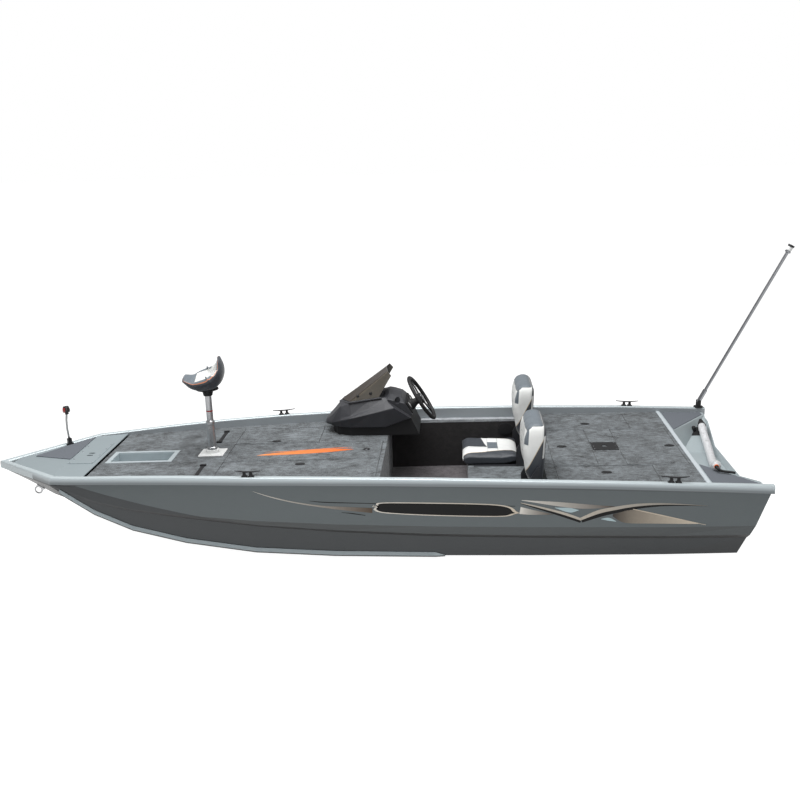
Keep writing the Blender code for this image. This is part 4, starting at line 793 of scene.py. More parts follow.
@dataclass(frozen=True)
class SplitLens:
    """A lamp's dark hood, with a red window to port and a green one to the other side."""

    name: str
    middle: Place
    red: Colour = (170, 36, 34)
    green: Colour = (30, 120, 70)
    hood: Colour = (34, 31, 31)
    divider: float = 0.002

    def material(self) -> bpy.types.Material:
        """Builds the hood and the windows, which face forward of each side."""
        paint = Paint(self.name, Roughness=0.15, Coat_Weight=0.5)
        where = paint.place()
        x, y, z = paint.parts(where)
        ribs = paint.noise(paint.scaled(where, (1.0, 1.0, 0.1)), scale=300.0, detail=1.0)
        colour = paint.mix(y > self.middle[1], linear(*self.green), linear(*self.red))
        window = (x > self.middle[0]) * (z < self.middle[2]) * (abs(y - self.middle[1]) > self.divider)
        colour = paint.mix(window, linear(*self.hood), colour)
        paint.colour(paint.mix(ribs * 0.3, colour, (0.02, 0.02, 0.02, 1.0)))
        paint.bump(ribs, 0.0003)
        return paint.material


@dataclass(frozen=True)
class StemFinish:
    """A plug-in lamp's parts in one: dark clamp and neck, with the bare stem between."""

    name: str
    low: float
    high: float
    plastic: Colour = (32, 32, 34)
    dull: Colour = (150, 152, 154)
    bright: Colour = (214, 214, 212)

    def material(self) -> bpy.types.Material:
        """Builds plastic below and above the two levels, and metal between them."""
        paint = Paint(self.name, Roughness=0.32)
        where = paint.place()
        _, _, z = paint.parts(where)
        stem = (z > self.low) * (z < self.high)
        streaks = paint.noise(paint.scaled(where, (1.0, 1.0, 0.1)), scale=160.0, detail=3.0)
        metal = paint.mix(streaks, linear(*self.dull), linear(*self.bright))
        paint.colour(paint.mix(stem, linear(*self.plastic), metal))
        paint.feed(paint.shader.inputs["Metallic"], stem)
        return paint.material


@dataclass(frozen=True)
class Vinyl:
    """Upholstery vinyl in sewn panels; each kind of seat says where its panels lie."""

    name: str
    white: Colour = (228, 229, 227)
    grey: Colour = (104, 112, 119)
    dark: Colour = (58, 62, 68)
    piping: Colour = (214, 196, 170)

    def panels(self, paint: Paint) -> tuple[object, Value]:
        """The panels' colour, and the seams' depth of 0 to 1."""
        raise NotImplementedError

    @staticmethod
    def seam(distance: Value, half: float = 0.0022) -> Value:
        """1 on the line where the distance is 0, down to 0 at half the seam's width."""
        return abs(distance).ramp(half, 0.0)

    def material(self) -> bpy.types.Material:
        """Builds the vinyl: leather grain and soft creases under the panels' colours."""
        paint = Paint(self.name, Specular_IOR_Level=0.4, Sheen_Weight=0.05)
        where = paint.place()
        colour, seams = self.panels(paint)
        grain = paint.cells(where, 420.0)
        creases = paint.noise(where, scale=16.0, detail=4.0, rough=0.6)
        shaded = paint.mix((creases - 0.4) * 0.25, colour, (0.05, 0.05, 0.05, 1.0))
        paint.colour(paint.mix(seams * 0.55, shaded, (0.03, 0.03, 0.03, 1.0)))
        paint.rough(creases * 0.2 + 0.34)
        paint.bump(grain * 0.12 + creases * 0.9 - seams, 0.0016)
        return paint.material


@dataclass(frozen=True)
class BackVinyl(Vinyl):
    """A helm seat's back: white panels, a grey cap, dark rear and lower side, and piping between."""

    middle: float = 0.5
    half: float = 0.225
    hinge: tuple[float, float] = (-1.112, 0.415)
    channels: tuple[float, float, float] = BACK_CHANNELS
    rear: float = -0.040
    side: float = 0.80
    cap: float = 0.326

    def panels(self, paint: Paint) -> tuple[object, Value]:
        """Splits the back by its depth u, its height v above the hinge and its share w of the half width."""
        x, y, z = paint.parts(paint.place())
        v = z - self.hinge[1]
        u = x - self.hinge[0] + v * BACK_LEAN
        w = abs(y - self.middle) * (1.0 / self.half)
        slant = v - 0.275 + (u + 0.050) * 2.2
        side = w > self.side
        bolster = (u > 0.050) * (v > self.channels[-1]) * (w > 0.82)
        strip = (u > self.rear - 0.013) * (u < self.rear) * (v > 0.130) * (v < 0.268)
        cap = v - self.cap + (u - 0.030).ramp(0.0, 0.06) * 0.05
        colour = paint.mix(bolster, linear(*self.white), linear(*self.grey))
        colour = paint.mix((slant < 0.0) * side, colour, linear(*self.dark))
        colour = paint.mix(self.seam(slant, 0.0085) * side, colour, linear(*self.piping))
        colour = paint.mix(u < self.rear, colour, linear(*self.dark))
        colour = paint.mix(strip * side, colour, linear(*self.white))
        colour = paint.mix(cap > 0.0, colour, linear(*self.grey))
        seams = self.seam(cap) + self.seam(u - self.rear)
        seams = seams + self.seam(w - PAD_INNER, 0.012) * (u > 0.02)
        for height in self.channels:
            seams = seams + self.seam(v - height, 0.004) * (w < PAD_INNER) * (u > 0.0)
        return colour, seams.clamped()


@dataclass(frozen=True)
class CushionVinyl(Vinyl):
    """A helm seat's cushion: white with a dark and a grey insert, dark piped sides."""

    middle: float = 0.5
    half: float = 0.23
    insert_width: float = 0.22
    insert_from: float = 1.635
    patch: tuple[float, float] = (1.550, 1.622)
    patch_sides: tuple[float, float] = (-0.28, 0.48)
    front: float = 1.795
    top: float = 0.418
    under: float = 0.385

    def panels(self, paint: Paint) -> tuple[object, Value]:
        """Splits the cushion in the hull's frame, by its length x and its share w of the half width."""
        x, y, z = paint.parts(paint.place())
        x, z = x - STERN_X, z - KEEL_Z
        w = (y - self.middle) * (1.0 / self.half)
        ahead = x - self.insert_from + w * 0.049
        insert = (ahead > 0.0) * (w < self.insert_width) * (z > self.under)
        top = z > self.top
        left, right = self.patch_sides
        patch = (x > self.patch[0]) * (x < self.patch[1]) * (w > left) * (w < right) * top
        edge = abs(w) - 0.56 - (x - 1.42) * 0.78
        behind = x < self.front
        colour = paint.mix(insert, linear(*self.white), linear(*self.dark))
        colour = paint.mix(patch, colour, linear(*self.grey))
        colour = paint.mix((edge > 0.0) * behind, colour, linear(*self.dark))
        colour = paint.mix(behind * self.seam(edge, 0.016), colour, linear(*self.piping))
        seams = self.seam(ahead) * (w < self.insert_width)
        seams = seams + self.seam(w - self.insert_width, 0.01) * (ahead > 0.0)
        seams = seams + self.seam(x - self.patch[0]) + self.seam(x - self.patch[1])
        return colour, (seams * top * (edge < 0.0)).clamped()


@dataclass(frozen=True)
class BucketVinyl(Vinyl):
    """The fishing seat: a dark shell, white pads with a grey nose and top, orange piping between."""

    white: Colour = (206, 207, 205)
    piping: Colour = (228, 128, 56)
    shell: float = 0.47
    nose: float = 0.17
    fold: float = 0.52
    bolster: tuple[float, float] = (0.68, 0.74)
    crest: float = 0.90

    def panels(self, paint: Paint) -> tuple[object, Value]:
        """Splits the seat by its UV map: u round the section from the shell's middle, v along the spine."""
        u, v, _ = paint.parts(paint.map())
        inner, upper = self.bolster
        ends = (v < self.nose) + (v > self.crest)
        bolster = (u > self.shell) * (u < inner) * (v < upper)
        colour = paint.mix(ends.clamped(), linear(*self.white), linear(*self.grey))
        colour = paint.mix(bolster, colour, linear(*self.grey))
        colour = paint.mix(u < self.shell, colour, linear(*self.dark))
        colour = paint.mix(self.seam(u - self.shell - 0.02, 0.018), colour, linear(*self.piping))
        nose, crest, fold = (self.seam(v - place, 0.008) for place in (self.nose, self.crest, self.fold))
        seams = (nose + crest + fold) * (u > 0.5) + self.seam(u - inner, 0.012) * (v < upper)
        return colour, seams.clamped()


@dataclass(frozen=True)
class Studio:
    """Pale floor, white background, soft lamps and the camera at the photograph's view."""

    focal_pixels: float = 1075.1
    frame_pixels: float = 800.0
    sensor: float = 36.0
    eye: Place = (1.8491, 6.9341, 2.6466)
    yaw: float = 0.0527
    pitch: float = 0.2463
    roll: float = 0.0250
    clip: float = 200.0
    floor_drop: float = 0.004
    floor_reach: float = 60.0
    floor_glow: float = 1.38
    sky_light: float = 0.34
    white: tuple[float, float, float, float] = (1.0, 1.0, 1.0, 1.0)

    def camera(self) -> bpy.types.Object:
        """Makes the camera: it looks across the boat from port, a little down and forward.

        Returns:
            The camera.
        """
        forward = np.array((math.sin(self.yaw), -math.cos(self.yaw), 0.0))
        right = np.array((-math.cos(self.yaw), -math.sin(self.yaw), 0.0))
        down = np.array((0.0, 0.0, -1.0))
        look = math.cos(self.pitch) * forward + math.sin(self.pitch) * down
        under = math.cos(self.pitch) * down - math.sin(self.pitch) * forward
        across = math.cos(self.roll) * right + math.sin(self.roll) * under
        below = -math.sin(self.roll) * right + math.cos(self.roll) * under
        data = bpy.data.cameras.new("photo_view")
        data.sensor_width = self.sensor
        data.lens = self.focal_pixels / self.frame_pixels * self.sensor
        data.clip_end = self.clip
        camera = bpy.data.objects.new("photo_view", data)
        turn = Matrix((across, -below, -look)).transposed().to_4x4()
        camera.matrix_world = HULL @ Matrix.Translation(Vector(self.eye)) @ turn
        bpy.context.scene.collection.objects.link(camera)
        bpy.context.scene.camera = camera
        return camera

    def lamp(self, name: str, place: tuple, aim: tuple, size: float, power: float) -> None:
        """Hangs one soft square lamp.

        Args:
            name: the lamp's name.
            place: where it hangs.
            aim: the point that it faces.
            size: its side in metres.
            power: its power in watts.
        """
        data = bpy.data.lights.new(name, "AREA")
        data.shape = "SQUARE"
        data.size = size
        data.energy = power
        lamp = bpy.data.objects.new(name, data)
        turn = (Vector(aim) - Vector(place)).to_track_quat("-Z", "Y")
        lamp.matrix_world = Matrix.Translation(Vector(place)) @ turn.to_matrix().to_4x4()
        bpy.context.scene.collection.objects.link(lamp)

    def floor(self) -> bpy.types.Object:
        """Lays the floor just under the keel, white to the camera and pale to the lamps."""
        level = CAD_BOX[0][2] - self.floor_drop
        reach = self.floor_reach
        corners = [(x * reach, y * reach, level) for x, y in ((-1, -1), (1, -1), (1, 1), (-1, 1))]
        mesh = bpy.data.meshes.new("floor")
        mesh.from_pydata(corners, [], [(0, 1, 2, 3)])
        floor = bpy.data.objects.new("floor", mesh)
        bpy.context.scene.collection.objects.link(floor)
        paint = Paint("pale_floor", Base_Color=(0.80, 0.80, 0.80, 1.0), Roughness=0.9)
        rays = paint.node("ShaderNodeLightPath")
        bright = paint.node("ShaderNodeEmission", {}, {"Color": self.white, "Strength": self.floor_glow})
        camera_ray = Value(paint, rays.outputs["Is Camera Ray"])
        seen = camera_ray * 0.72 + Value(paint, rays.outputs["Is Glossy Ray"]) * 0.3
        blend = paint.node("ShaderNodeMixShader", {}, [seen.clamped()])
        paint.feed(blend.inputs[1], paint.shader.outputs[0])
        paint.feed(blend.inputs[2], bright.outputs[0])
        output = paint.tree.nodes["Material Output"]
        paint.feed(output.inputs["Surface"], blend.outputs[0])
        mesh.materials.append(paint.material)
        return floor

    def sky(self) -> None:
        """Lights the boat evenly from all round, and shows white to camera, gloss and glass."""
        scene = bpy.context.scene
        world = bpy.data.worlds.new("studio")
        scene.world = world
        world.use_nodes = True
        tree = world.node_tree
        rays = tree.nodes.new("ShaderNodeLightPath")
        seen = tree.nodes.new("ShaderNodeMath")
        seen.operation = "MAXIMUM"
        tree.links.new(rays.outputs["Is Camera Ray"], seen.inputs[0])
        tree.links.new(rays.outputs["Is Transmission Ray"], seen.inputs[1])
        strength = tree.nodes.new("ShaderNodeMapRange")
        tree.links.new(seen.outputs[0], strength.inputs["Value"])
        strength.inputs["To Min"].default_value = self.sky_light
        strength.inputs["To Max"].default_value = 1.0
        back = tree.nodes["Background"]
        back.inputs["Color"].default_value = self.white
        tree.links.new(strength.outputs[0], back.inputs["Strength"])
        scene.view_settings.view_transform = "Standard"

    def build(self) -> None:
        """Sets up the camera, the floor, the sky and the lamps."""
        self.camera()
        self.floor()
        self.sky()
        self.lamp("overhead", place=(0.5, 0.6, 6.0), aim=(0.2, 0.0, 0.0), size=5.0, power=520.0)
        self.lamp("camera_side", place=(-2.5, 6.5, 3.5), aim=(0.0, 0.0, 0.2), size=5.0, power=60.0)
        log.info("studio: camera, floor, sky and two lamps")


class Finish(Enum):
    """The boat's finishes, each with the record's slot that it dresses."""

    HULL = HullPaint("hull_paint", (86, 93, 95), 0.42, 0.3), "hull_paint"
    TRIM = SatinPaint("trim_paint", (200, 208, 213), 0.36, 0.15, 0.03), "trim_paint"
    NOSE = SatinPaint("nose_paint", (146, 157, 161), 0.4, 0.15, 0.05), "trim_paint"
    RAIL = RailPaint("rail_paint", (188, 198, 201), 0.36, 0.15, 0.03), "trim_paint"
    CARPET = LoopCarpet("deck_carpet", (88, 93, 96), 0.95), "deck_carpet"
    FLOOR = LoopCarpet("floor_carpet", (96, 92, 94), 0.5), "cockpit_carpet"
    LINER = LinerCarpet("liner_carpet", (36, 34, 35), 0.4), "cockpit_carpet"
    MAT = RibbedMat("deck_mat", (104, 109, 116)), "deck_mat"
    WELL = SatinPaint("well_paint", (168, 178, 181), 0.4, 0.15, 0.05), "trim_paint"
    BLACK = GrainPlastic("black_plastic", (20, 20, 22), 0.62), "black_plastic"
    CONSOLE = GrainPlastic("console_moulding", (50, 51, 55), 0.46, 420.0, 0.00015), "console_moulding"
    ACRYLIC = TintedSheet("tinted_acrylic", (40, 31, 22), (84, 79, 70), 0.9), "tinted_acrylic"
    METAL = BareMetal("bare_aluminium", (205, 206, 208)), "bare_aluminium"
    STEEL = BareMetal("polished_steel", (170, 172, 176), 0.22, (1.0, 1.0, 0.1)), "bare_aluminium"
    WHITE = GrainPlastic("white_plastic", (222, 223, 222), 0.35, 500.0, 0.00005), "white_plastic"
    SWITCH = GrainPlastic("switch_rubber", (18, 18, 19), 0.7), "black_plastic"
    ORANGE = GrainPlastic("orange_plastic", (226, 108, 38), 0.4, 500.0, 0.00005), "black_plastic"
    RED = GrainPlastic("red_label", (176, 44, 40), 0.4, 500.0, 0.00005), "black_plastic"
    STRIPE = StripeFilm("stripe_film"), "hull_paint"
    FILM = WrinkledFilm("white_film", (228, 229, 231)), "white_film"
    LENS = SplitLens("lens_hood", (2.104, -0.300, 0.640)), "black_plastic"
    STEM = StemFinish("stem_finish", 0.430, 0.590), "black_plastic"
    EDGE = EdgePaint("edge_paint", (158, 168, 172)), "trim_paint"
    SUNK = SunkPaint("sunk_paint", (186, 196, 200)), "trim_paint"
    BACK_PORT = BackVinyl("back_vinyl_port", middle=0.5), "seat_vinyl"
    BACK_STARBOARD = BackVinyl("back_vinyl_starboard", middle=-0.5), "seat_vinyl"
    CUSHION_PORT = CushionVinyl("cushion_vinyl_port", middle=0.5), "seat_vinyl"
    CUSHION_STARBOARD = CushionVinyl("cushion_vinyl_starboard", middle=-0.5), "seat_vinyl"
    BUCKET = BucketVinyl("bucket_vinyl"), "seat_vinyl"


MADE: dict[Finish, bpy.types.Material] = {}


def material_of(finish: Finish) -> bpy.types.Material:
    """The finish's material, built the first time."""
    if finish not in MADE:
        MADE[finish] = finish.value[0].material()
    return MADE[finish]


def add_piece(mesh: bpy.types.Mesh, finish: Finish, body: str = "hull",
              replaces: tuple[str, ...] = ()) -> bpy.types.Object:
    """Puts a mesh in the scene as a piece of the boat.

    Args:
        mesh: its mesh, in the frame's coordinates, whose name it takes.
        finish: its finish.
        body: the CAD body that it rides on.
        replaces: the CAD nodes that it stands for.

    Returns:
        The piece.
    """
    piece = bpy.data.objects.new(mesh.name, mesh)
    bpy.context.scene.collection.objects.link(piece)
    mesh.materials.clear()
    mesh.materials.append(material_of(finish))
    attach(piece, body)
    if replaces:
        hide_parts(*replaces)
    log.info("%s: %d faces on %s", piece.name, len(mesh.polygons), body)
    return piece


def surface_of(node: str) -> BVHTree:
    """A CAD node's surface, for rays."""
    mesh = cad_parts[node].data
    return BVHTree.FromPolygons([v.co for v in mesh.vertices], [p.vertices[:] for p in mesh.polygons])


@dataclass(frozen=True)
class Filling:
    """How a pad is filled: the Cloth's pressure and how far it may swell."""

    voxel: float = 0.008
    pressure: float = 4.0
    cap: float = 0.007
    frames: int = 20

    @staticmethod
    def apply(piece: bpy.types.Object, kind: str, **settings: object) -> None:
        """Adds a modifier and takes its result as the piece's mesh."""
        modifier = piece.modifiers.new(kind.lower(), kind)
        for key, value in settings.items():
            setattr(modifier, key, value)
        graph = bpy.context.evaluated_depsgraph_get()
        name, materials = piece.data.name, list(piece.data.materials)
        mesh = bpy.data.meshes.new_from_object(piece.evaluated_get(graph))
        piece.modifiers.clear()
        piece.data = mesh
        mesh.name = name
        mesh.materials.clear()
        for material in materials:
            mesh.materials.append(material)
        mesh.shade_smooth()

    @staticmethod
    def points_of(mesh: bpy.types.Mesh) -> np.ndarray:
        """The mesh's vertices, as rows of x, y and z."""
        flat = np.empty(len(mesh.vertices) * 3)
        mesh.vertices.foreach_get("co", flat)
        return flat.reshape(-1, 3)

    def swell(self, piece: bpy.types.Object, floor: float = -math.inf) -> None:
        """Fills the evenly remeshed pad by a Cloth simulation, held to the cap and above the floor.

        Args:
            piece: the pad, a little smaller than it is to be.
            floor: the height that it rests on, in the frame.
        """
        self.apply(piece, "REMESH", mode="VOXEL", voxel_size=self.voxel)
        mesh = piece.data
        start = self.points_of(mesh)
        cloth = piece.modifiers.new("fill", "CLOTH")
        cloth.settings.use_pressure = True
        cloth.settings.uniform_pressure_force = self.pressure
        cloth.settings.effector_weights.gravity = 0.0
        cloth.collision_settings.use_collision = False
        for step in range(1, self.frames + 1):
            bpy.context.scene.frame_set(step)
        done = piece.evaluated_get(bpy.context.evaluated_depsgraph_get())
        move = self.points_of(done.data) - start
        piece.modifiers.remove(cloth)
        bpy.context.scene.frame_set(1)
        far = np.linalg.norm(move, axis=1, keepdims=True)
        move *= np.minimum(1.0, self.cap / np.maximum(far, 1e-9))
        result = start + move
        result[:, 2] = np.maximum(result[:, 2], floor)
        mesh.vertices.foreach_set("co", result.ravel())
        mesh.update()
        self.apply(piece, "SUBSURF", levels=1, render_levels=1)


@dataclass
class Hose:
    """The film-wrapped rigging hose that lies across the splashwell, and the orange cap where it ends."""

    radius: float = 0.027
    wrap: float = 0.0006
    fold: float = 0.0008
    smooth_ends: float = 0.02
    spacing: float = 2.5
    points: int = 260
    sides: int = 36
    route: tuple[Place, ...] = (
        (0.0945, -0.5450, 0.5455), (0.0997, -0.490, 0.5318), (0.106, -0.400, 0.511), (0.115, -0.280, 0.490),
        (0.130, -0.140, 0.475), (0.150, 0.010, 0.471), (0.172, 0.150, 0.480), (0.195, 0.280, 0.508),
        (0.215, 0.390, 0.546), (0.230, 0.460, 0.576), (0.243, 0.515, 0.5925), (0.251, 0.553, 0.5955),
    )
    collar: Profile = (
        (0.0010, 0.0120), (0.0025, 0.0138), (0.0050, 0.0142), (0.0085, 0.0136), (0.0120, 0.0142),
        (0.0150, 0.0138), (0.0165, 0.0120),
    )

    def path(self) -> np.ndarray:
        """The centreline: a smooth curve through the route, in points about the spacing of radii apart."""
        rows = placed(np.array(self.route), HULL)
        around = with_neighbours(rows)
        result = []
        for a, b, c, d in zip(around, around[1:], around[2:], around[3:]):
            steps = max(1, round(float(np.linalg.norm(c - b)) / (self.radius * self.spacing)))
            result += [catmull_rom(a, b, c, d, t) for t in np.arange(steps) / steps]
        return np.array(result + [rows[-1]])

    def creases(self) -> np.ndarray:
        """The film's creases: waves that slant round the hose, a long one cut by another, and a fine one.

        They die away at the ends.
        """
        turn = np.linspace(0.0, 2.0 * math.pi, self.sides, endpoint=False)[None]
        along = np.linspace(0.0, 1.0, self.points)[:, None]
        long_waves = np.sin(along * 190.0 + turn * 2.0) * np.sin(along * 61.0 - turn)
        fine_waves = 0.5 * np.sin(along * 410.0 + turn * 5)
        edge = np.minimum(1.0, np.minimum(along, 1.0 - along) / self.smooth_ends)
        return (long_waves + fine_waves) * edge

    def build(self) -> None:
        path = self.path()
        radii = self.radius - self.wrap + self.fold * self.creases()
        mesh = tube("hose_film", spline(path, self.points), radii, self.sides)
        hose = add_piece(mesh, Finish.FILM, replaces=("rigging_hose",))
        way = (path[-1] - path[-2]) / np.linalg.norm(path[-1] - path[-2])
        rings, sizes = (np.array(column) for column in zip(*self.collar))
        cap = add_piece(tube("plug_collar", path[-1] + rings[:, None] * way, sizes, 24), Finish.ORANGE)


@dataclass
class HelmSeat:
    """One helm seat's upholstery: a cushion on the box and a back on the hinge."""

    side: int
    centre: float = 0.5
    half: float = 0.23
    hinge: tuple[float, float] = (1.378, 0.575)
    inset: float = 0.01
    base: float = 0.3565
    bolster: float = 0.006
    profile: Profile = (
        (1.400, 0.386), (1.400, 0.414), (1.430, 0.428), (1.560, 0.431), (1.702, 0.434), (1.777, 0.440),
        (1.808, 0.424), (1.812, 0.392), (1.788, 0.3565), (1.650, 0.3565), (1.510, 0.3565),
    )
    stations: tuple[tuple[float, float, float, float], ...] = (
        (-0.055, 0.000, -0.034, 0.195), (-0.025, 0.018, -0.050, 0.225), (0.055, 0.046, -0.056, 0.225),
        (0.170, 0.064, -0.056, 0.225), (0.265, 0.066, -0.054, 0.222), (0.318, 0.058, -0.048, 0.207),
        (0.343, 0.026, -0.016, 0.175),
    )

    @staticmethod
    def mound(distance: np.ndarray, width: float) -> np.ndarray:
        """A bell curve, 1 where the distance is 0 and gone at a few widths."""
        return np.exp(-((distance / width) ** 2))

    @staticmethod
    def rising(value: np.ndarray, start: float, reach: float) -> np.ndarray:
        """A straight rise from 0 at the start to 1 at the reach beyond it."""
        return np.clip((value - start) / reach, 0.0, 1.0)

    @property
    def suffix(self) -> str:
        """The side's name."""
        return "port" if self.side > 0 else "starboard"

    def cushion(self) -> bpy.types.Object:
        """Builds the cushion: the side's profile, rounded, carried across with raised bolsters."""
        corners = np.array(self.profile + self.profile[:1])
        length = np.concatenate([[0.0], np.cumsum(np.linalg.norm(np.diff(corners, axis=0), axis=1))])
        along = np.linspace(0.0, length[-1], 97)[:-1]
        ring = np.stack([np.interp(along, length, corners[:, axis]) for axis in (0, 1)], -1)
        for _ in range(5):
            ring = 0.5 * ring + 0.25 * (np.roll(ring, 1, axis=0) + np.roll(ring, -1, axis=0))
        middle = ring.mean(axis=0)
        rounding = [0.94, 0.972, 0.992, 1.0]
        share = np.concatenate([[-place for place in rounding[::-1]], np.linspace(-0.9, 0.9, 49), rounding])
        out = np.abs(share)
        pull = 1.0 - 0.16 * self.rising(out, 0.90, 0.10) ** 3
        top = self.rising(ring[:, 1], 0.405, 0.02)[None]
        back = self.rising(ring[:, 0], 1.42, 0.10)[None]
        shoulder = 0.020 * self.rising(out, 0.55, 0.45) ** 2
        rise = self.bolster * self.mound(out - 0.55, 0.18) - 0.004 * self.mound(share, 0.34) - shoulder
        flat = middle + (ring - middle) * (1.0 - self.inset)
        x = middle[0] + (flat[None, :, 0] - middle[0]) * (1.0 - 0.25 * (1.0 - pull[:, None]))
        z = middle[1] + (flat[None, :, 1] - middle[1]) * pull[:, None] + rise[:, None] * top * back
        z = np.maximum(z, self.base)
        y = self.side * self.centre + share[:, None] * (self.half - 0.001) + 0.0 * x
        points = placed(np.stack([x, y, z], -1), HULL)
        mesh = grid_mesh("cushion_" + self.suffix, points, ring=True, ends=True)
        finish = Finish.CUSHION_PORT if self.side > 0 else Finish.CUSHION_STARBOARD
        return add_piece(mesh, finish, replaces=("seat_cushion_" + self.suffix,))

    def back(self) -> bpy.types.Object:
        """Builds the back: rounded sections up the stations, bolsters forward and sewn channels between."""
        rows = spline(self.stations, 61)
        cap = np.array([(rows[-1][0] + 0.0006, *rows[-1][1:])])
        rows = np.concatenate([rows, cap])
        turn = np.linspace(0.0, 2.0 * math.pi, 96, endpoint=False)[None]
        height, front, rear, wide = (rows[:, [column]] for column in range(4))
        across = np.sign(np.cos(turn)) * np.abs(np.cos(turn)) ** (2.0 / 9.0)
        depth = np.sign(np.sin(turn)) * np.abs(np.sin(turn)) ** (2.0 / 6.5)
        u = (front + rear) / 2 + (front - rear) / 2 * depth
        forward = np.clip(depth, 0.0, 1.0)
        bolster = self.bolster * self.mound(np.abs(across) - 0.76, 0.15)
        channels = sum(0.004 * self.mound(height - level, 0.006) for level in BACK_CHANNELS)
        inner = 1.0 / (1.0 + np.exp((np.abs(across) - PAD_INNER) / 0.02))
        body = self.rising(height, -0.03, 0.05) * self.rising(-height, -0.30, 0.05)
        u = u + forward * body * (bolster - (0.005 + channels) * inner)
        x = self.hinge[0] + u - BACK_LEAN * height
        y = self.side * self.centre + across * wide
        z = self.hinge[1] + height + 0.0 * x
        points = placed(np.stack([x, y, z], -1), HULL)
        mesh = grid_mesh("back_" + self.suffix, points, ring=True, ends=True)
        finish = Finish.BACK_PORT if self.side > 0 else Finish.BACK_STARBOARD
        return add_piece(mesh, finish, self.suffix + "_seat_back", ("seat_back_" + self.suffix,))

    def build(self) -> None:
        """Builds and fills both pads."""
        cushion, back = self.cushion(), self.back()
        Filling(cap=0.006).swell(cushion, self.base + KEEL_Z)
        Filling(cap=0.005).swell(back)


@dataclass
class BucketSeat:
    """The fishing seat's folding bucket: a moulded shell with its pads."""

    spine: tuple[tuple[float, float, float, float, float], ...] = (
        (0.160, 0.112, 0.105, 0.030, 0.024), (0.112, 0.066, 0.155, 0.072, 0.036),
        (0.050, 0.0445, 0.178, 0.098, 0.040), (-0.030, 0.0445, 0.182, 0.118, 0.040),
        (-0.090, 0.078, 0.176, 0.124, 0.038), (-0.120, 0.140, 0.164, 0.096, 0.034),
        (-0.122, 0.198, 0.146, 0.062, 0.030), (-0.104, 0.246, 0.112, 0.026, 0.022),
    )
    along: int = 57
    round: int = 33
    ends: Profile = ((0.93, 0.0035), (0.75, 0.0060), (0.45, 0.0072))

    def build(self) -> None:
        """Lofts the section along the spine, both through smooth curves, and closes the lip and the crest.

        A row of the spine holds the section's place ahead and up, its half width, and the heights of its
        rim and its pad.
        """
        rows = spline(self.spine, self.along)
        run = np.gradient(rows[:, :2], axis=0)
        run /= np.linalg.norm(run, axis=1, keepdims=True)
        out = np.stack([run[:, 1], -run[:, 0]], -1)
        x, z, wide, rim, pad = (rows[:, column] for column in range(5))
        zero, one = 0.0 * x, 0.0 * x + 1.0
        share = np.stack([zero, 0.62 * one, one, 0.94 * one, 0.66 * one, zero], 1)
        lift = np.stack([zero, 0.16 * rim, 0.62 * rim, rim, pad + 0.30 * rim, pad], 1)
        half = spline(np.stack([share, lift], -1).transpose(1, 0, 2), self.round).transpose(1, 0, 2)
        ring = np.concatenate([half, (half * np.array((-1.0, 1.0)))[:, -2:0:-1]], 1)
        points = np.stack([x[:, None] + out[:, [0]] * ring[..., 1], ring[..., 0] * wide[:, None],
                           z[:, None] + out[:, [1]] * ring[..., 1]], -1)
        middle = points.mean(axis=1, keepdims=True)
        caps = []
        for place, way, sign in ((0, run[0], -1.0), (-1, run[-1], 1.0)):
            step = np.array((way[0], 0.0, way[1])) * sign
            caps.append([middle[place] + (points[place] - middle[place]) * size + step * reach
                         for size, reach in self.ends])
        points = np.concatenate([caps[0][::-1], points, caps[1]])
        count = ring.shape[1]
        there = np.linspace(0, 1, self.round)
        u = np.concatenate([there, there[-2:0:-1]])
        v = np.concatenate([np.zeros(len(self.ends)), np.linspace(0, 1, self.along), np.ones(len(self.ends))])
        uv = np.stack([np.broadcast_to(u, (len(v), count)), np.broadcast_to(v[:, None], (len(v), count))], -1)
        mesh = grid_mesh("bucket_seat", placed(points, FISHING), ring=True, ends=True, uv=uv)
        seat = add_piece(mesh, Finish.BUCKET, "fishing_seat", ("bow_seat",))


@dataclass(frozen=True)
class Stripe:
    """A strip of film along a spine of two places and a half width, with its colours along and across."""

    spine: tuple[Place, ...]
    start: Colour
    end: Colour
    under: Colour | None = None
    lift: float = 0.0006
    step: float = 0.012
    thinnest: float = 0.0006
    shares: tuple[float, ...] = (-1.0, -0.5, -0.04, 0.04, 0.5, 1.0)

    def grid(self) -> tuple[np.ndarray, np.ndarray]:
        """The strip's flat grid of two places, and the tints of its points."""
        spine = np.array(self.spine)
        reach = float(np.linalg.norm(np.diff(spine[:, :2], axis=0), axis=1).sum())
        rows = spline(spine, max(12, int(reach / self.step)))
        way = np.gradient(rows[:, :2], axis=0)
        way /= np.linalg.norm(way, axis=1, keepdims=True)
        side = np.stack([-way[:, 1], way[:, 0]], -1)
        side *= np.sign(side[:, [1]] + 1e-9)
        steps = np.array(self.shares)
        half = np.maximum(rows[:, [2]], self.thinnest)
        flat = rows[:, None, :2] + side[:, None] * (half * steps)[..., None]
        share = np.linspace(0.0, 1.0, len(rows))[:, None, None]
        first, last = np.array(linear(*self.start)), np.array(linear(*self.end))
        tint = np.broadcast_to(first + (last - first) * share, (len(rows), len(steps), 4)).copy()
        if self.under is not None:
            tint[:, :3] = linear(*self.under)
        return flat, tint


Lay = Callable[[np.ndarray], tuple[np.ndarray, np.ndarray]]
FILM_BACK = 0.00012


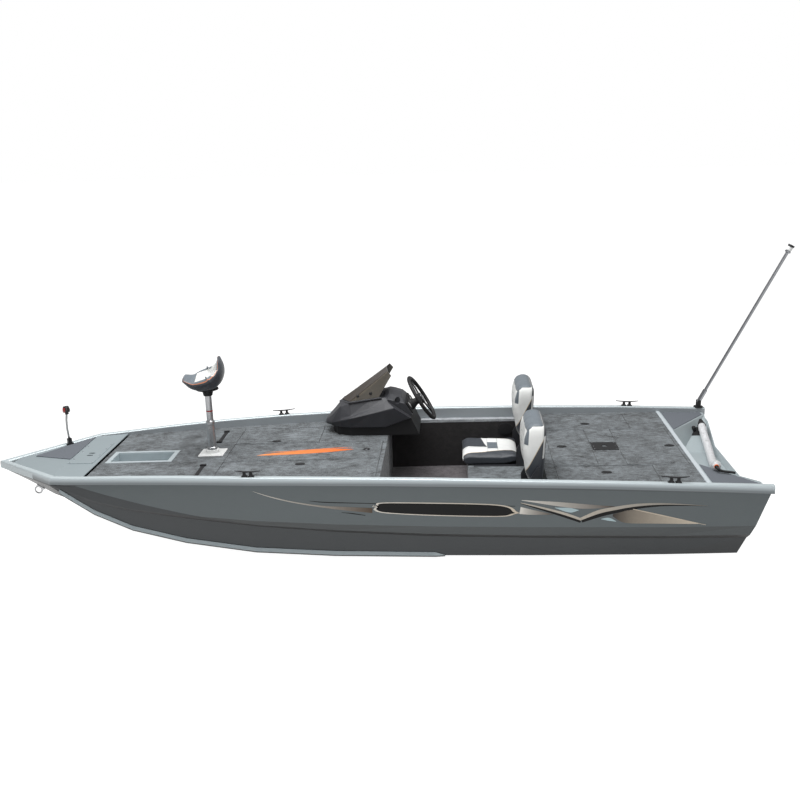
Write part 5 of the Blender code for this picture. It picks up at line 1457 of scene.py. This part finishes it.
def film(name: str, stripes: list[Stripe], lay: Lay, body: str = "hull") -> bpy.types.Object:
    """Lays stripes on a surface as one thin closed piece.

    Args:
        name: the piece's name.
        stripes: the stripes.
        lay: a function from a flat grid to its points and normals on the surface.
        body: the body that it rides on.

    Returns:
        The piece, with its tints in the attribute that the film reads.
    """
    meshes, tints = [], []
    for place, stripe in enumerate(stripes):
        flat, tint = stripe.grid()
        points, normals = lay(flat)
        ring = np.concatenate([points + normals * stripe.lift, (points + normals * FILM_BACK)[:, ::-1]], 1)
        mesh = grid_mesh(f"{name}_{place}", ring, ring=True, ends=True)
        layer = mesh.color_attributes.new("tint", "FLOAT_COLOR", "POINT")
        layer.data.foreach_set("color", np.concatenate([tint, tint[:, ::-1]], 1).astype(np.float32).ravel())
        meshes.append(mesh)
    mesh = joined(name, meshes)
    mesh.shade_flat()
    return add_piece(mesh, Finish.STRIPE, body)


# The film's colours: on the hull, and the flash's two on the deck
BEIGE, PALE, SAND, INK, ICE = (203, 190, 172), (224, 220, 212), (190, 182, 170), (13, 13, 14), (175, 195, 200)
AMBER, FLAME = (236, 146, 78), (222, 104, 44)
# Each spine runs in metres from the transom and the keel, its last number the half width
SIDE_STRIPES = [
    Stripe(((1.11, .373, .0167), (1.004, .417, .0229), (.907, .441, .0207), (.811, .46, .0176),
            (.714, .471, .0134), (.618, .475, .0093), (.502, .472, .0052), (.377, .465, .001)), SAND,
           (140, 136, 130), INK),
    Stripe(((1.468, .482, .0031), (1.394, .462, .0083), (1.297, .434, .0125), (1.199, .403, .0156),
            (1.11, .37, .0146)), SAND, SAND, INK),
    Stripe(((1.463, .501, .001), (1.375, .491, .0062), (1.248, .477, .0135), (1.121, .464, .0156),
            (1.005, .46, .0093), (.917, .462, .001)), PALE, (70, 58, 50)),
    Stripe(((.926, .406, .0062), (.867, .397, .0354), (.809, .397, .0437), (.712, .386, .0333),
            (.614, .374, .0218), (.517, .362, .0114), (.425, .351, .001)), (60, 54, 50), (208, 196, 178)),
    Stripe(((.81, .446, .0021), (.615, .4, .0031), (.381, .343, .001)), BEIGE, BEIGE, lift=0.0009),
    Stripe(((1.267, .454, .001), (1.179, .438, .0146), (1.126, .438, .001)), ICE, ICE, lift=0.0009),
    Stripe(((.993, .381, .001), (.949, .38, .0094), (.905, .366, .001)), ICE, ICE, lift=0.0009),
    Stripe(((1.471, .435, .0229), (1.404, .424, .0167), (1.277, .41, .001)), PALE, (84, 74, 66)),
    Stripe(((3.09, .526, .0005), (2.993, .496, .0027), (2.849, .464, .0036), (2.679, .441, .0054),
            (2.509, .429, .0117), (2.355, .421, .0162)), (206, 202, 194), (84, 70, 58)),
    Stripe(((2.738, .474, .0009), (2.635, .468, .0027), (2.303, .467, .0018), (1.50, .462, .0016)), INK, INK),
    Stripe(((2.544, .404, .0009), (2.476, .398, .0027), (2.399, .388, .0018)), INK, INK),
    Stripe(((2.345, .446, .001), (2.26, .440, .036), (1.62, .432, .040), (1.475, .418, .001)), PALE, BEIGE,
           lift=0.0008),
    Stripe(((2.325, .446, .001), (2.25, .440, .031), (1.63, .432, .035), (1.500, .418, .001)), INK, INK,
           lift=0.0011),
]
# The flash's spines run along and across the fore deck
DECK_FLASH = [
    Stripe(((.86, .085, .001), (.78, .066, .020), (.52, .030, .036), (.34, .004, .030), (.22, -.006, .003)),
           AMBER, FLAME),
    Stripe(((.82, .010, .001), (.66, .004, .006), (.40, -.036, .009), (.23, -.060, .001)), AMBER, FLAME),
]


@dataclass
class Graphics:
    """The stripes on the hull's sides and the flash on the fore deck."""

    outside: float = 1.5

    def side(self, sign: int) -> bpy.types.Object:
        """Lays the side's stripes on the hull by level rays from outside."""
        hull = surface_of("hull_skin")

        def lay(flat: np.ndarray) -> tuple[np.ndarray, np.ndarray]:
            """Finds each point of the grid on the side."""
            points, normals = np.empty((*flat.shape[:2], 3)), np.empty((*flat.shape[:2], 3))
            for row, column in np.ndindex(*flat.shape[:2]):
                x, z = flat[row, column]
                start = HULL @ Vector((x, sign * self.outside, z))
                found, normal = hull.ray_cast(start, Vector((0.0, -sign, 0.0)))[:2]
                points[row, column], normals[row, column] = found, normal
            return points, normals

        return film("side_stripes_port" if sign > 0 else "side_stripes_starboard", SIDE_STRIPES, lay)

    def deck(self) -> bpy.types.Object:
        """Lays the flash on the centre lid of the fore deck."""

        def lay(flat: np.ndarray) -> tuple[np.ndarray, np.ndarray]:
            """Puts the grid on the deck's plane."""
            points = placed(np.concatenate([flat, np.zeros((*flat.shape[:2], 1))], -1), FORE)
            return points, np.broadcast_to(np.array(FORE.to_3x3())[:, 2], points.shape)

        return film("deck_flash", DECK_FLASH, lay, "fore_centre_lid")

    def build(self) -> None:
        """Lays all the film."""
        for sign in (1, -1):
            self.side(sign)
        self.deck()


@dataclass
class Fastenings:
    """Latches in the lids, and screws in the nose's motor plate and the seat socket."""

    latches: tuple = (
        ("fore_starboard_lid", FORE, .778, -.246, 1.35), ("fore_port_lid", FORE, .540, .300, 1.35),
        ("fore_centre_lid", FORE, .127, 0.0, 1.0), ("aft_port_lid", AFT, .920, .560, 1.35),
        ("aft_starboard_lid", AFT, .920, -.560, 1.35), ("aft_front_lid", AFT, 1.141, 0.0, 1.35),
        ("aft_rear_lid", AFT, .430, 0.0, 1.35),
    )
    bezel: Profile = (
        (0.020, 0.0002), (0.0245, 0.0002), (0.0245, 0.0018), (0.0225, 0.0030), (0.0175, 0.0030),
        (0.0165, 0.0012), (0.006, 0.0010),
    )
    pull: Profile = (
        (0.0100, 0.0011), (0.0145, 0.0012), (0.0148, 0.0024), (0.0120, 0.0032), (0.0040, 0.0026),
    )
    plate_screws: Profile = (
        (4.420, -.190), (4.420, -.062), (4.420, .110), (4.420, .190), (4.272, -.235), (4.272, -.123),
        (4.272, .021), (4.272, .184),
    )
    socket_margin: tuple[float, float] = (0.012, 0.014)
    screw_height: float = 0.0016

    def latch(self, body: str, deck: Matrix, x: float, y: float, stretch: float) -> None:
        """Builds one flush latch: a bezel, and the pull that lies in it, bright where the latch is round."""
        at = deck @ Matrix.Translation((x, y, 0.0))
        add_piece(lathe(f"latch_{body}", self.bezel, at, 36, (stretch, 1.0)), Finish.BLACK, body)
        finish = Finish.STEEL if stretch == 1.0 else Finish.BLACK
        add_piece(lathe(f"latch_pull_{body}", self.pull, at, 28, (stretch, 0.8)), finish, body)

    def screws(self, name: str, base: Matrix, places: list | tuple, radius: float) -> None:
        """Builds domed screws at places on a base as one piece."""
        high = self.screw_height
        head = [(radius * 0.8, 0.0001), (radius, 0.0003), (radius * 0.9, high * 0.6), (radius * 0.5, high),
                (radius * 0.2, high * 0.75)]
        made = [lathe(name, head, base @ Matrix.Translation((*place, 0.0)), 14) for place in places]
        add_piece(joined(name, made), Finish.STEEL)

    def socket(self) -> None:
        """Builds the seat socket's screws, two across by three, in from its edges by the margins."""
        low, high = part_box("deck_socket")
        along, across = self.socket_margin
        places = [(x, y) for x in np.linspace(low[0] + along, high[0] - along, 2)
                  for y in np.linspace(low[1] + across, high[1] - across, 3)]
        top = Matrix.Translation((0.0, 0.0, high[2] - 0.5 * self.screw_height))
        self.screws("socket_screws", top, places, 0.006)

    def build(self) -> None:
        """Builds the latches and the screws."""
        for row in self.latches:
            self.latch(*row)
        plate = Matrix.Translation((STERN_X, 0.0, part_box("bow_plate")[1][2]))
        self.screws("motor_plate_screws", plate, self.plate_screws, 0.0055)
        self.socket()


@dataclass
class Lights:
    """The bow light's two-coloured lens and the stern light's white one."""

    bow_place: Place = (0.148, -0.291, 0.0)
    bow_turn: float = math.atan2(0.520, 0.540)
    lamp_back: float = 0.016
    hood: Profile = (
        (0.0200, 0.2382), (0.0264, 0.2385), (0.0262, 0.2500), (0.0246, 0.2620), (0.0214, 0.2720),
        (0.0150, 0.2782), (0.0050, 0.2795),
    )
    cap: Profile = (
        (0.0180, 1.2840), (0.0236, 1.2845), (0.0240, 1.2900), (0.0236, 1.2980), (0.0195, 1.2975),
    )
    glass: Profile = (
        (0.0160, 1.2530), (0.0182, 1.2535), (0.0190, 1.2620), (0.0190, 1.2740), (0.0182, 1.2815),
        (0.0160, 1.2822),
    )

    def build(self) -> None:
        """Builds the lenses round the CAD's lamp bodies."""
        bow = NOSE @ Matrix.Translation(self.bow_place) @ Matrix.Rotation(self.bow_turn, 4, "Z")
        lamp = bow @ Matrix.Translation((-self.lamp_back, 0.0, 0.0))
        add_piece(lathe("bow_light_lens", self.hood, lamp, 32), Finish.LENS)
        add_piece(lathe("stern_light_cap", self.cap, LIGHT_POLE, 28), Finish.BLACK, "stern_light")
        add_piece(lathe("stern_light_lens", self.glass, LIGHT_POLE, 28), Finish.WHITE, "stern_light")


@dataclass
class PostTrim:
    """The red band round the fishing seat's post, and the dark cap in its deck plate."""

    band: Profile = ((0.0226, 0.2950), (0.0230, 0.2952), (0.0230, 0.3030), (0.0226, 0.3032))
    cap: Profile = ((0.0080, 0.0002), (0.0110, 0.0004), (0.0105, 0.0016), (0.0050, 0.0018))
    cap_margin: float = 0.020
    cap_side: float = -0.030
    plate_top: float = 0.0065

    def build(self) -> None:
        """Builds the band on the post's axis and the oval cap on the plate, near its aft edge."""
        add_piece(lathe("post_band", self.band, POST, 32), Finish.RED)
        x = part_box("post_plate")[0][0] + self.cap_margin
        plate = Matrix.Translation((x, self.cap_side, deck_below(x, 0.0) + self.plate_top)) @ FORE_TURN
        add_piece(lathe("plate_cap", self.cap, plate, 24, (1.5, 1.0)), Finish.BLACK)


@dataclass
class ConsoleDetail:
    """Bolts on the windscreen's wings, the dash's gauges and switches, and the wheel's inlays."""

    gauges: tuple[Place, ...] = (
        (0.012, 0.060, 0.030), (0.012, -0.115, 0.026), (0.012, -0.165, 0.018),
    )
    gauge_base: float = 0.0100
    switches: tuple[float, ...] = (-0.150, -0.132, -0.114, -0.096)
    bolt: Profile = (
        (0.0060, -0.0005), (0.0105, 0.0), (0.0105, 0.0030), (0.0085, 0.0055), (0.0030, 0.0066),
    )
    bolt_places: Profile = ((0.207, 0.275), (0.116, 0.292))
    ray_sides: tuple[tuple[int, float], ...] = ((1, 0.0), (-1, -1.1))
    hub: Profile = (
        (0.020, 0.0062), (0.034, 0.0064), (0.033, 0.0085), (0.024, 0.0105), (0.008, 0.0112),
    )
    spokes: tuple[float, float, float] = (90, 210, 330)
    inlay: tuple[float, float, float] = (0.046, 0.140, -0.0012)

    def gauge(self, place: int, x: float, y: float, radius: float) -> None:
        """Builds one gauge on the dash panel: a dark bezel and a pale dial."""
        at = DASH @ Matrix.Translation((x, y, self.gauge_base))
        ring = [(radius * 0.8, 0.0001), (radius, 0.0003), (radius, 0.0040), (radius * 0.88, 0.0052),
                (radius * 0.80, 0.0030), (radius * 0.3, 0.0028)]
        dial = [(radius * 0.5, 0.0029), (radius * 0.76, 0.0029), (radius * 0.76, 0.0034),
                (radius * 0.2, 0.0034)]
        add_piece(lathe(f"gauge_{place}", ring, at, 32), Finish.BLACK)
        add_piece(lathe(f"gauge_dial_{place}", dial, at, 32), Finish.WHITE)

    def bolts(self) -> None:
        """Builds two capped bolts on each wing of the windscreen, where level rays meet the sheet."""
        screen = surface_of("windscreen")
        made = []
        for side, start in self.ray_sides:
            for x, z in self.bolt_places:
                found, normal = screen.ray_cast(FORE @ Vector((x, start, z)), Vector((0.0, -side, 0.0)))[:2]
                if found is not None:
                    turn = normal.to_track_quat("Z", "X").to_matrix().to_4x4()
                    made.append(lathe("screen_bolts", self.bolt, Matrix.Translation(found) @ turn, 20))
        add_piece(joined("screen_bolts", made), Finish.BLACK)

    def wheel(self) -> None:
        """Builds the wheel's satin hub cover and spoke inlays."""
        made = [lathe("wheel_inlays", self.hub, WHEEL, 32)]
        start, end, level = self.inlay
        for turn in self.spokes:
            spoke = WHEEL @ Matrix.Rotation(math.radians(turn), 4, "Z")
            made.append(bar("wheel_inlay", (start, 0, level), (end, 0, level), 0.016, 0.0016, spoke))
        add_piece(joined("wheel_inlays", made), Finish.STEEL, "steering")

    def build(self) -> None:
        """Builds the details."""
        for place, gauge in enumerate(self.gauges):
            self.gauge(place, *gauge)
        made = [bar("dash_switches", (-0.030, y, 0.0125), (-0.008, y, 0.0150), 0.010, 0.004, DASH)
                for y in self.switches]
        add_piece(joined("dash_switches", made), Finish.SWITCH)
        self.bolts()
        self.wheel()


class Dressing:
    """Gives each carried-over CAD node its finish, by its whole name or by how its name starts."""

    by_node: dict[str, Finish] = {
        "hull_skin": Finish.HULL, "keel_strip": Finish.HULL, "bow_eye": Finish.METAL,
        "fore_lockers": Finish.TRIM, "aft_lockers": Finish.TRIM, "pedal_tray": Finish.SUNK,
        "bow_light": Finish.STEM,
        "bow_mat": Finish.MAT, "transom_mat_port": Finish.MAT, "transom_mat_starboard": Finish.MAT,
        "fore_deck": Finish.CARPET, "aft_deck": Finish.CARPET, "aft_bulkhead": Finish.CARPET,
        "fore_bulkhead": Finish.CARPET, "seat_box": Finish.CARPET,
        "side_liner_port": Finish.LINER, "side_liner_starboard": Finish.LINER,
        "cockpit_floor": Finish.FLOOR, "seat_post": Finish.METAL, "post_plate": Finish.WHITE,
        "windscreen": Finish.ACRYLIC, "console_cowl": Finish.CONSOLE, "console_base": Finish.BLACK,
        "stern_light_pole": Finish.STEEL, "deck_socket": Finish.BLACK, "gunwale": Finish.RAIL,
    }
    by_start: dict[str, Finish] = {
        "lid_": Finish.CARPET, "spray_rail": Finish.EDGE, "bow_plate": Finish.NOSE, "aft_bar": Finish.TRIM,
        "splashwell": Finish.WELL, "seat_bracket": Finish.CONSOLE,
    }

    def finish(self, node: str) -> Finish:
        """The finish of a node, which is black plastic unless a table names another."""
        for start, found in self.by_start.items():
            if node.startswith(start):
                return found
        return self.by_node.get(node, Finish.BLACK)

    def build(self) -> None:
        """Assigns the materials to the nodes' slots."""
        for name, node in sorted(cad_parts.items()):
            material = material_of(self.finish(name))
            if not node.data.materials:
                node.data.materials.append(None)
            for place in range(len(node.data.materials)):
                node.data.materials[place] = material
        log.info("dressing: %d nodes in %d finishes", len(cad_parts), len(MADE))


def main() -> None:
    """Builds the studio, the finishes and the pieces."""
    Studio().build()
    Hose().build()
    Dressing().build()
    for side in (1, -1):
        HelmSeat(side).build()
    for part in (BucketSeat(), Graphics(), Fastenings(), PostTrim(), Lights(), ConsoleDetail()):
        part.build()


if __name__ == "__main__":
    main()
